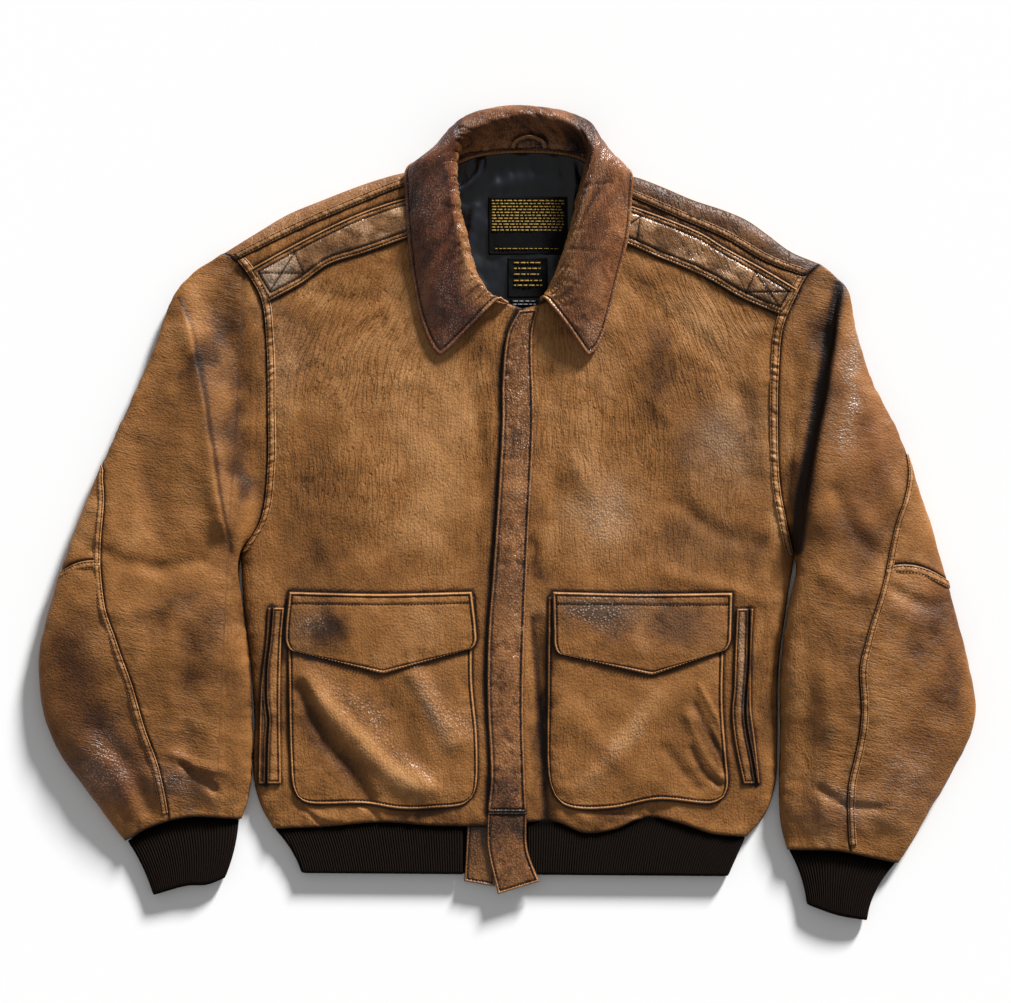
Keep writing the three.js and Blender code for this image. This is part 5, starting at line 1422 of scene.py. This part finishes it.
def welt_look(x, y, near):
    """The lips are painted dark towards the slit as shade in it, and the inner right lip is rubbed grey."""
    away = np.minimum(*(distance_to(smooth_path(line)(CHAIN), x, y) for line in (SLIT_LEFT, SLIT_RIGHT)))
    rubbed = bell(distance_to([(222, -95), (222, -190)], x, y), 3)
    return {"tone": -1.3 * bell(away, 2.4) - 0.15 + 0.3 * rubbed, "ash": 0.6 * rubbed,
            "polish": 0.2 + 0.6 * rubbed}


for name, edges in WELTS.items():
    inner_lip = name.endswith("inner")
    side = "left" if "left" in name else "right"
    rows = layer(f"{name}_leather", name, edges, ON_FRONT, 20 if inner_lip else 14, 120, (2.4,),
                 look=welt_look, rests_on=[f"front_{side}_leather"], puff=0.3 if inner_lip else 0.0, rim=0.3,
                 bead=0.3, skip=("bottom", "top", side))
    detail_rows += rows if inner_lip else []
sew_rows("detail_stitches", detail_rows)

# %% [markdown]
# ## Wind flap and tabs
#
# The wind flap covers the closure. Its left edge is free and rolled; its right edge is sewn to
# the front. The lower tab folds over the waistband, and a second tab
# shows beneath it.

# %% Wind flap
TAB_HEIGHT, UNDER_TAB_HEIGHT = 11.0, 8.4


def flap_ground(x, y):
    """Under the flap: the body's top and a small gap, sinking to the tab's height at the hem."""
    high = body_top(x, y) + FLAP_LIFT
    return high + (TAB_HEIGHT - LEATHER - high) * smoothstep(-y, 284, 324)


def flap_wrinkles(x, y, near):
    """Slanting wrinkles all down the flap."""
    across, down = 0.87 * x - 0.5 * y, 0.5 * x + 0.87 * y
    return 1.2 * creases(across * 1.4, down * 0.4, 15, 95.0) + 0.35 * swells(across, down * 0.5, 9, 96.0, 2)


def flap_look(tone, red):
    """Dye of a layer of the flap: uneven down its length, and dark at the seam above the tab."""
    def look(x, y, near):
        from_seam = y - FLAP_LEFT[-1][1]
        return {"tone": tone + 0.1 * swells(x, y, 40, 97.0) - 0.9 * bell(from_seam, 2.5), "red": red,
                "polish": 0.6 - 0.6 * bell(from_seam, 5)}
    return look


flap_rows = layer("wind_flap_leather", "wind_flap", WIND_FLAP, 0.0, 34, 330, (3.0,),
                  skip=("bottom", "top", "left"), ground=flap_ground, relief=flap_wrinkles,
                  look=flap_look(-0.12, 0.30), slot="leather_dark", rim=0.25,
                  rests_on=["front_left_leather", "front_right_leather"], puff=0.9)
flap_rows += layer("wind_flap_tab_leather", "wind_flap_tab", WIND_FLAP_TAB, 0.0, 34, 70, (2.6,),
                   skip=("top",), ground=flap_ground, relief=flap_wrinkles, look=flap_look(-0.26, 0.25),
                   slot="leather_dark", rests_on=["waistband_knit"], puff=0.4)
flap_rows += layer("under_tab_leather", "under_tab", UNDER_TAB, 0.0, 26, 46, (2.6,),
                   skip=("top", "right"), puff=0.1, look=flap_look(-0.4, 0.1), slot="leather_dark",
                   ground=lambda x, y: np.full(np.shape(x), UNDER_TAB_HEIGHT - LEATHER),
                   rests_on=["waistband_knit"])
sew_rows("wind_flap_stitches", flap_rows)

# %% [markdown]
# ## Collar
#
# Stand and leaf are one roll of leather. Nineteen drawn sections run up the stand, over the roll
# and down the leaf; smooth curves join them round the neck, and the surface is where curve and
# section cross. The leaf's edge is a piped bead with a stitched groove behind it.

# %% Collar
COLLAR_SECTIONS = np.array([
    [[1, 200, 12], [-2, 201, 15], [-6, 203, 19], [-14, 198, 20], [-38, 173, 20], [-63, 148, 14]],
    [[-13, 206, 12], [-15, 207, 16], [-20, 211, 21], [-28, 207, 22], [-50, 182, 21], [-73, 160, 14]],
    [[-27, 225, 12], [-27, 225, 18], [-34, 228, 25], [-42, 225, 26], [-63, 206, 24], [-83, 187, 14]],
    [[-37, 256, 12], [-36, 256, 20], [-43, 257, 29], [-51, 255, 29.5], [-72, 240, 26], [-90, 223, 14]],
    [[-44, 287, 12], [-43, 287, 21], [-50, 287, 31], [-58, 286, 31], [-78, 275, 27], [-95, 263, 14]],
    [[-48, 312, 12], [-47, 313, 22], [-54, 316, 32], [-62, 317, 31], [-82, 310, 25], [-97, 300, 14]],
    [[-49, 326, 11], [-48, 328, 21], [-56, 333, 32], [-66, 337, 30], [-84, 334, 22], [-96, 327, 12]],
    [[-48, 336, 9], [-45, 341, 19], [-49, 352, 31], [-58, 359, 22], [-64, 352, 8], [-72, 336, 0]],
    [[-33, 343.5, 6], [-30, 352, 14], [-28, 366, 27], [-34, 379, 16], [-32, 374, 2], [-40, 330, 0]],
    [[19, 347.5, 5.5], [19, 360, 14], [19, 378, 26], [19, 387, 12], [19, 378, 1], [19, 325, 0]],
    [[71, 342.5, 6], [67, 351, 14], [65, 364, 27], [70, 376, 16], [67, 370, 2], [76, 328, 0]],
    [[80, 334, 9], [75, 338, 20], [79, 347, 32], [89, 352, 22], [95, 346, 8], [99, 330, 0]],
    [[73, 321, 11], [71, 323, 21], [78, 329, 32], [90, 333, 30], [107, 331, 22], [118, 323, 12]],
    [[69, 307, 12], [67, 307, 22], [74, 308, 32], [85, 309, 31], [105, 304, 25], [118, 296, 14]],
    [[63, 281, 12], [61, 281, 22], [68, 281, 32], [79, 281, 32], [100, 274, 27], [115, 262, 15]],
    [[56, 252, 12], [54, 252, 21], [61, 250, 30], [71, 248, 30.5], [91, 238, 27], [105, 221, 15]],
    [[48, 229, 12], [46, 229, 19], [53, 224, 27], [62, 219, 28], [81, 202, 26], [95, 182, 16]],
    [[40, 213, 12], [39, 214, 17], [45, 209, 23], [53, 203, 24], [70, 181, 23], [86, 158, 15]],
    [[31, 202, 12], [31, 203, 16], [34, 204, 21], [40, 198, 22], [57, 176, 22], [76, 148, 15]],
], float)


def curve_through(points, t):
    """A smooth curve through rows of points, all columns at once, at parameters 0 to 1."""
    p = np.concatenate([2 * points[:1] - points[1:2], points, 2 * points[-1:] - points[-2:-1]])
    place = np.asarray(t) * (len(points) - 1)
    k = np.minimum(place.astype(int), len(points) - 2)
    w = (place - k).reshape((-1,) + (1,) * (points.ndim - 1))
    a, b, c, d = p[k], p[k + 1], p[k + 2], p[k + 3]
    leave, arrive = (c - a) / 2, (d - b) / 2
    return b + leave * w + (3 * (c - b) - 2 * leave - arrive) * w**2 + (2 * (b - c) + leave + arrive) * w**3


ROWS_ROUND, COLUMNS_OVER = 330, 74
ROW_STEP, COLUMN_STEP = 3.1, 1.0  # about how far apart the rows and columns are at the leaf's tips
TIP_ROUND, TIP_REACH = 3.2, 5.0  # how far the leaf tips are drawn in, and how far from the tip
LEAF_GROOVE = 4.2  # how far behind the leaf's edge it is stitched

round_neck, over_roll = np.linspace(0, 1, ROWS_ROUND), spaced(COLUMNS_OVER, 0.35)
collar_lines = curve_through(COLLAR_SECTIONS, round_neck)
collar_base = np.swapaxes(curve_through(np.swapaxes(collar_lines, 0, 1), over_roll), 0, 1)[:, ::-1]
collar_base[..., 2] = np.maximum(collar_base[..., 2], 0)
tip_rows = np.arange(ROWS_ROUND)[:, None] * ROW_STEP
tip_columns = np.arange(COLUMNS_OVER)[None, :] * COLUMN_STEP
for from_tip, inward in ((tip_rows, (0.30, 0.95)), (tip_rows[::-1], (-0.20, 0.98))):
    draw = TIP_ROUND * np.exp(-np.hypot(from_tip, tip_columns) / TIP_REACH)
    collar_base[..., 0] += draw * inward[0]
    collar_base[..., 1] += draw * inward[1]
run_round = round_neck[:, None] + 0 * over_roll[None, :]  # 0 at the left front corner, 1 at the right one
from_start, from_edge = grid_distances(collar_base)
leaf_edge = np.minimum(from_edge, np.minimum(from_start, from_start[-1:] - from_start))
on_stand = smoothstep(from_edge, 46, 64)

# Relief: rolled edge, stitched groove, swells, wrinkles that run over the roll and down the stand
collar_x, collar_y = collar_base[..., 0], collar_base[..., 1]
edge_groove = bell(leaf_edge - LEAF_GROOVE, 0.9)
edge_bead = bell(leaf_edge - 1.6, 1.1)
wrinkles = (creases(from_start * 2.0, from_edge * 0.35, 20, 61.0)
            + 0.6 * creases(from_start, from_edge * 0.5, 9, 64.0))
dents = 0.7 * swells(from_start, from_edge, 24, 62.0) + 0.35 * swells(from_start, from_edge, 8, 66.0, 2)
cross_creases = folds([([(70, 308), (98, 312)], -0.7, 1.6), ([(57, 250), (84, 247)], -0.7, 1.6),
                       ([(52, 221), (70, 215)], -0.5, 1.6), ([(60, 266), (76, 270)], -0.5, 1.6),
                       ([(50, 234), (66, 230)], -0.5, 1.5), ([(-44, 236), (-60, 228)], -0.5, 1.6),
                       ([(-46, 252), (-60, 256)], -0.5, 1.6), ([(-48, 288), (-64, 291)], -0.5, 1.6)],
                      collar_x, collar_y)
collar_relief = 1.0 * edge_bead - 0.9 * edge_groove + smoothstep(leaf_edge, 4, 10) * (
    dents + wrinkles * (0.3 + 1.1 * on_stand) + cross_creases)
collar_normal = normals_of(collar_base)
collar_outer = collar_base + collar_normal * collar_relief[..., None]
collar_outer[..., 2] = np.maximum(collar_outer[..., 2], 0)

# Looks: red-brown leaves, the right one paler, and a tan stand. Painted shade lies in the stand's
# folds, on the roll's back, round the hanger loop and in the stitched groove; ridges and the
# rolled bead are painted lighter, and the stand's own paler leather is painted lighter still
# where the roll shades it
right_side_of = smoothstep(run_round, 0.5, 0.68)
inner_tan = smoothstep(from_edge, 50, 66)
at_back = smoothstep(collar_y, 340, 366)
painted_fold_shade = (bell(collar_x - 66, 11) * bell(collar_y - 352, 24)
              + 1.3 * smoothstep(from_edge, 58, 66) * bell(collar_x - 72, 14) * bell(collar_y - 325, 26))
collar_tone = (-0.26 + 0.22 * right_side_of * (1 - inner_tan) + inner_tan * (0.34 + 0.1 * right_side_of)
               - 0.6 * painted_fold_shade - 0.30 * at_back + 0.22 * collar_relief + 0.1 * edge_bead
               - 0.45 * edge_groove + 0.16 * swells(from_start, from_edge, 14, 63.0, 2))
collar_red = 0.95 - 0.6 * inner_tan * (1 - 0.4 * at_back) - 0.3 * right_side_of - 0.1 * edge_bead
LOOP_POINTS = [(5, 347, 9), (8, 352.5, 13.5), (20, 356.5, 17.5), (33, 352.5, 13.5), (36, 347, 9)]
loop_chain = smooth_path([(x, y) for x, y, _ in LOOP_POINTS])(CHAIN)
# Painted shadow of the hanger loop on the stand
collar_tone = collar_tone - 1.1 * inner_tan * bell(distance_to(loop_chain, collar_x, collar_y), 3.6)
scuffs = np.clip(swells(from_start, from_edge, 26, 65.0), 0, 1)
sew("collar_leather", "collar", collar_outer, collar_base - collar_normal * LEATHER, polished_goatskin,
    "leather_red_brown", base=collar_base, bulge=0.5, held="folded",
    rests_on=["yoke_left_leather", "yoke_right_leather"], tone=collar_tone, red=collar_red,
    ash=0.1 * right_side_of * scuffs, polish=(0.5 + 0.5 * scuffs) * (1 - 0.75 * at_back))
groove = np.argmin(np.abs(from_edge - LEAF_GROOVE), axis=1)
edge_row = np.take_along_axis(collar_outer, groove[:, None, None], axis=1)[:, 0] + [0, 0, 0.25]
end_rows = [collar_outer[int(np.argmin(np.abs(from_start[:, 20] - away)))] + [0, 0, 0.25]
            for away in (LEAF_GROOVE, from_start[-1, 20] - LEAF_GROOVE)]
sew_rows("collar_stitches", [edge_row[6:-6]] + [row[6:44] for row in end_rows])

# %% Hanger loop
LOOP_WIDTH, LOOP_THICKNESS = 4.0, 1.5
loop_line = smooth_path(LOOP_POINTS)(np.linspace(0, 1, 60))
loop_ahead = unit(np.gradient(loop_line, axis=0))
loop_across = unit(np.cross(loop_ahead, (0, -0.8, 0.6)))
loop_up = np.cross(loop_across, loop_ahead)
around = np.linspace(0, 2 * np.pi, 17)[:-1]


def loop_ring(size):
    """The strap's section all along the loop: flat with rounded sides."""
    wide = np.sign(np.cos(around)) * np.abs(np.cos(around)) ** 0.5 * LOOP_WIDTH / 2 * size
    high = np.sin(around) * LOOP_THICKNESS / 2 * size
    ring = loop_line[:, None] + loop_across[:, None] * wide[:, None] + loop_up[:, None] * high[:, None]
    return ring[:, ::-1]


points, quads = closed_wall(loop_ring(1.0), loop_ring(0.3), 0.0, ring=True)
looks = wear_and_shade(points, tone=0.05, red=0.2, polish=0.5)
loop = make_piece("hanger_loop_leather", points, quads, worn_goatskin, looks)
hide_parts("hanger_loop")

# %% [markdown]
# ## Rib knit
#
# A rib is two columns of stitches that stand up and two that sink. Here each rib is a rounded
# ridge, one every 2.4 mm, so the knit's surface is its tube moved out by |sin| of the place
# along it.

# %% Cuffs and waistband
RIB = 2.4
RIB_HEIGHT = 0.9
POINTS_PER_RIB = 6
KNIT_ROWS = 12
LEATHER_SHADOW_WIDTH = 5.0  # how wide the painted shadow of the leather lies on the knit beside its seam


def ribs(run, v):
    """Ridges across the run, wavering a little with the place down the knit."""
    waver = 0.5 * swells(run, v * 40, 30, 71.0)
    return RIB_HEIGHT * (np.abs(np.sin(np.pi * (run + waver) / RIB)) ** 0.8 - 0.6)


def knit(name, node_name, section, down, ring, seam):
    """section(s, v) is the knit's smooth outer face: s round it, v along it, with its leather seam
    at v = seam, where it is dark. down is its length along v."""
    fine = np.linspace(0, 1, 4001)
    middle = section(fine[None, :], np.array([[0.5]]))[0]
    run = run_of(middle)
    count = int(round(run[-1] / RIB)) * POINTS_PER_RIB
    length = np.linspace(0, run[-1], count + 1)
    s = np.interp(length, run, fine)
    if ring:
        s, length = s[:-1], length[:-1]
    v = spaced(KNIT_ROWS, 0.4)[:, None]
    base = section(s[None, :], v)
    padded = np.concatenate([base[:, -1:], base, base[:, :1]], axis=1) if ring else base
    normal = normals_of(padded)
    if ring:
        normal = normal[:, 1:-1]
    relief = ribs(length[None, :], v) * smoothstep(np.minimum(v, 1 - v) * down, 0, 2.5) + 0 * v
    outer = base + normal * relief[..., None]
    outer[..., 2] = np.maximum(outer[..., 2], 0)
    inner = base - normal * KNIT * 0.8
    points, quads = closed_wall(outer, inner, 0.5, ring)
    # Tone: painted shade between the ribs, and the painted shadow of the leather beside the seam
    tone = on_wall(0.45 * relief - 0.5 * bell(np.abs(v - seam) * down, LEATHER_SHADOW_WIDTH), points, 0.0)
    looks = {"stain_and_shade": np.stack([tone, 0 * tone, 0 * tone], -1)}
    piece = make_piece(name, points, quads, wool_rib, looks)
    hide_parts(node_name)
    print(name, len(quads), "quads, flat area", round(flat_area(base) * 1e4), "cm2")


def cuff_section(top, end, nip):
    """A flattened ring between two curves. nip is how far each side moves in or out at half way."""
    top, end = smooth_path(top), smooth_path(end)

    def section(s, v):
        angle = 2 * np.pi * s
        t = (1 - np.cos(angle)) / 2
        xy = end(t) * (1 - v[..., None]) + top(t) * v[..., None]
        xy[..., 0] = xy[..., 0] + 4 * v * (1 - v) * ((1 - t) * nip[0] + t * nip[1])
        z = CUFF_HEIGHT / 2 * (1 + np.sign(np.sin(angle)) * np.abs(np.sin(angle)) ** 0.5)
        return at_height(xy, z)
    return section


knit("cuff_left_knit", "cuff_left", cuff_section(
    [(-361, -312.3), (-340, -299.3), (-305, -289.3), (-256, -291.3)],
    [(-337, -363), (-305, -354), (-286, -353), (-269, -347)], (2.5, 2.5)), 62, True, 1)
knit("cuff_right_knit", "cuff_right", cuff_section(
    [(268, -320.4), (314, -321.3), (343, -327.3), (369, -332.8)],
    [(285, -372), (314, -382), (342, -387)], (3.0, -5.5)), 58, True, 1)

WAIST_LEFT, WAIST_RIGHT = -43, 20
WAIST_NIP = 3.0  # how far the left side bends in between hem and lower edge
BOTTOM_LEFT, BOTTOM_RIGHT = (-196, -342), (210, -345)
hem_left_y, hem_right_y, hem_back_y = path_height(left_hem), path_height(right_hem), path_height(back_hem)


def waist_section(s, v):
    """From the left front end round the back to the right one: two flat runs on top, two half
    turns, and one run underneath. v is 0 at the hem seam and 1 at the lower edge."""
    s, v = np.broadcast_arrays(s, v)
    r = WAISTBAND_HEIGHT / 2
    left = LEFT_HEM_END[0] + 2 + (BOTTOM_LEFT[0] - LEFT_HEM_END[0] - 2) * v + WAIST_NIP * 4 * v * (1 - v) + r
    right = RIGHT_HEM_END[0] - 2 + (BOTTOM_RIGHT[0] - RIGHT_HEM_END[0] + 2) * v - r
    runs = [WAIST_LEFT - left, np.pi * r + 0 * v, right - left, np.pi * r + 0 * v, right - WAIST_RIGHT]
    total = sum(runs)
    at = s * total
    ends = [sum(runs[:k]) for k in range(1, 5)]
    within = [at < end for end in ends]
    turn_left = np.clip((at - ends[0]) / r, 0, np.pi)
    turn_right = np.clip((at - ends[2]) / r, 0, np.pi)
    x = np.select(within, [WAIST_LEFT - at, left - r * np.sin(turn_left), left + (at - ends[1]),
                           right + r * np.sin(turn_right)], right - (at - ends[3]))
    z = np.select(within, [2 * r + 0 * at, r * (1 + np.cos(turn_left)), 0 * at,
                           r * (1 - np.cos(turn_right))], 2 * r)
    tuck = smoothstep(np.minimum(x - LEFT_HEM_END[0], RIGHT_HEM_END[0] - x), 8, 26)
    front_y = np.where(x < HEM_MEETING[0], hem_left_y(x), hem_right_y(x)) + HEM_OVERLAP * tuck
    top_y = np.where(z < r, hem_back_y(x), front_y) - 3 * SEAM_GAP
    slope = (BOTTOM_RIGHT[1] - BOTTOM_LEFT[1]) / (BOTTOM_RIGHT[0] - BOTTOM_LEFT[0])
    bottom_y = BOTTOM_LEFT[1] + slope * (x - BOTTOM_LEFT[0])
    return np.stack([x, top_y + (bottom_y - top_y) * v, z], -1)


knit("waistband_knit", "waistband", waist_section, 50, False, 0)

# %% [markdown]
# ## Lining and labels
#
# Only the part of the satin that the neck shows is made. It is gathered into its seam at the
# top, so small pleats run down from there. The labels are woven tape with plain rules, gold on
# the two upper ones and grey on the lowest.

# %% Lining
inside_back = lambda x, y: back_underside(x, y) + LEATHER


def gathers(x, y, near):
    """Pleats that fade downwards, curved folds at the left, and slow swells."""
    pleats = 1.7 * swells(x + 0.1 * y, y * 0.12, 8.5, 81.0, 2) * smoothstep(y, 290, 335)
    lines = folds([([(-22, 343), (-28, 322), (-44, 308), (-52, 304)], 2.4, 3.5),
                   ([(-14, 340), (-20, 316), (-40, 296)], -1.6, 3.5),
                   ([(-30, 290), (-36, 250), (-28, 215)], 1.8, 5),
                   ([(-10, 312), (30, 318), (70, 310)], 1.6, 7),
                   ([(62, 300), (66, 250), (58, 215)], 1.4, 5)], x, y)
    return pleats + 1.4 * lines + 1.3 * swells(x, y, 26, 82.0)


def in_shade(x, y, near):
    """The satin darkens under the collar, most at the right."""
    return {"tone": -0.5 * smoothstep(x, 40, 60) - 0.3 * smoothstep(y, 318, 336)}


LINING = four_sides([(-52, 260), (-36, 210), (-7, 178), (36, 178), (64, 210), (84, 250)], [(92, 297)],
                    [(-50, 330), (-28, 338.5), (19, 342.5), (65, 337.5), (84, 326)], [(-56, 300)])
layer("lining_satin", "lining", LINING, SEAM_GAP, 96, 96, slot="satin", finish=satin, ground=inside_back,
      thickness=SATIN, puff=0.0, bead=0.0, rim=0.0, relief=gathers, look=in_shade, rests_on=["back_leather"])

# %% Labels
ON_LINING = 2 * SEAM_GAP + SATIN
label_ground = lambda x, y: inside_back(x, y) + 0.6


def label(name, node_name, x0, x1, y0, y1, rows, columns):
    """A rectangle of woven tape on the lining."""
    layer(name, node_name, four_sides([(x0, y0), (x1, y0)], [], [(x0, y1), (x1, y1)], []), ON_LINING,
          columns, rows, slot="woven_tape", finish=woven_tape, ground=label_ground, thickness=TAPE,
          puff=0.0, bead=0.1, rim=0.0, rests_on=["lining_satin"])


label("label_main_tape", "label_main", -18, 57, 246, 300.5, 40, 50)
label("label_size_tape", "label_size", 0, 38, 205, 243, 30, 30)
label("label_care_tape", "label_care", 3, 29, 196, 203.5, 10, 20)


def woven_rules(name, rows, x0, x1, thickness, seed, thread=gold_thread):
    """Woven dashes: each row is cut into dashes of random length, each a low bar of thread."""
    chance = np.random.default_rng(seed)
    lines = []
    for y in rows:
        x = x0
        while x < x1 - 2:
            length = chance.uniform(1.6, 5.5)
            end = min(x + length, x1)
            lines.append(((x, y), (end, y)))
            x = end + chance.uniform(0.7, 1.5)
    ends = np.array(lines, float)
    centre, half = ends.mean(axis=1), (ends[:, 1, 0] - ends[:, 0, 0]) / 2
    box = np.array([(-1, -1, 0), (1, -1, 0), (1, 1, 0), (-1, 1, 0), (-0.85, -0.5, 1), (0.85, -0.5, 1),
                    (0.85, 0.5, 1), (-0.85, 0.5, 1)], float)
    ground = label_ground(centre[:, 0], centre[:, 1]) + ON_LINING + TAPE + 0.35
    points = np.empty((len(ends), 8, 3))
    points[..., 0] = centre[:, :1] + box[None, :, 0] * half[:, None]
    points[..., 1] = centre[:, 1:] + box[None, :, 1] * thickness / 2
    points[..., 2] = ground[:, None] + box[None, :, 2] * 0.5 - 0.15
    faces = np.array([(0, 3, 2, 1), (4, 5, 6, 7), (0, 1, 5, 4), (1, 2, 6, 5), (2, 3, 7, 6), (3, 0, 4, 7)])
    quads = (faces[None] + 8 * np.arange(len(ends))[:, None, None]).reshape(-1, 4)
    looks = {"stain_and_shade": np.zeros((points.size // 3, 3))}
    make_piece(name, points.reshape(-1, 3), quads, thread, looks)
    print(name, len(ends), "dashes")


woven_rules("label_main_rules", np.linspace(297, 269, 11), -15, 54, 1.3, 11)
woven_rules("label_main_lower_rule", [251.5], -12, 50, 0.8, 12)
woven_rules("label_size_rules", [238, 232.5, 227, 221, 216.5], 6, 33, 1.4, 13)
woven_rules("label_care_rules", [201.5, 198.5], 5, 27, 0.9, 14, grey_thread)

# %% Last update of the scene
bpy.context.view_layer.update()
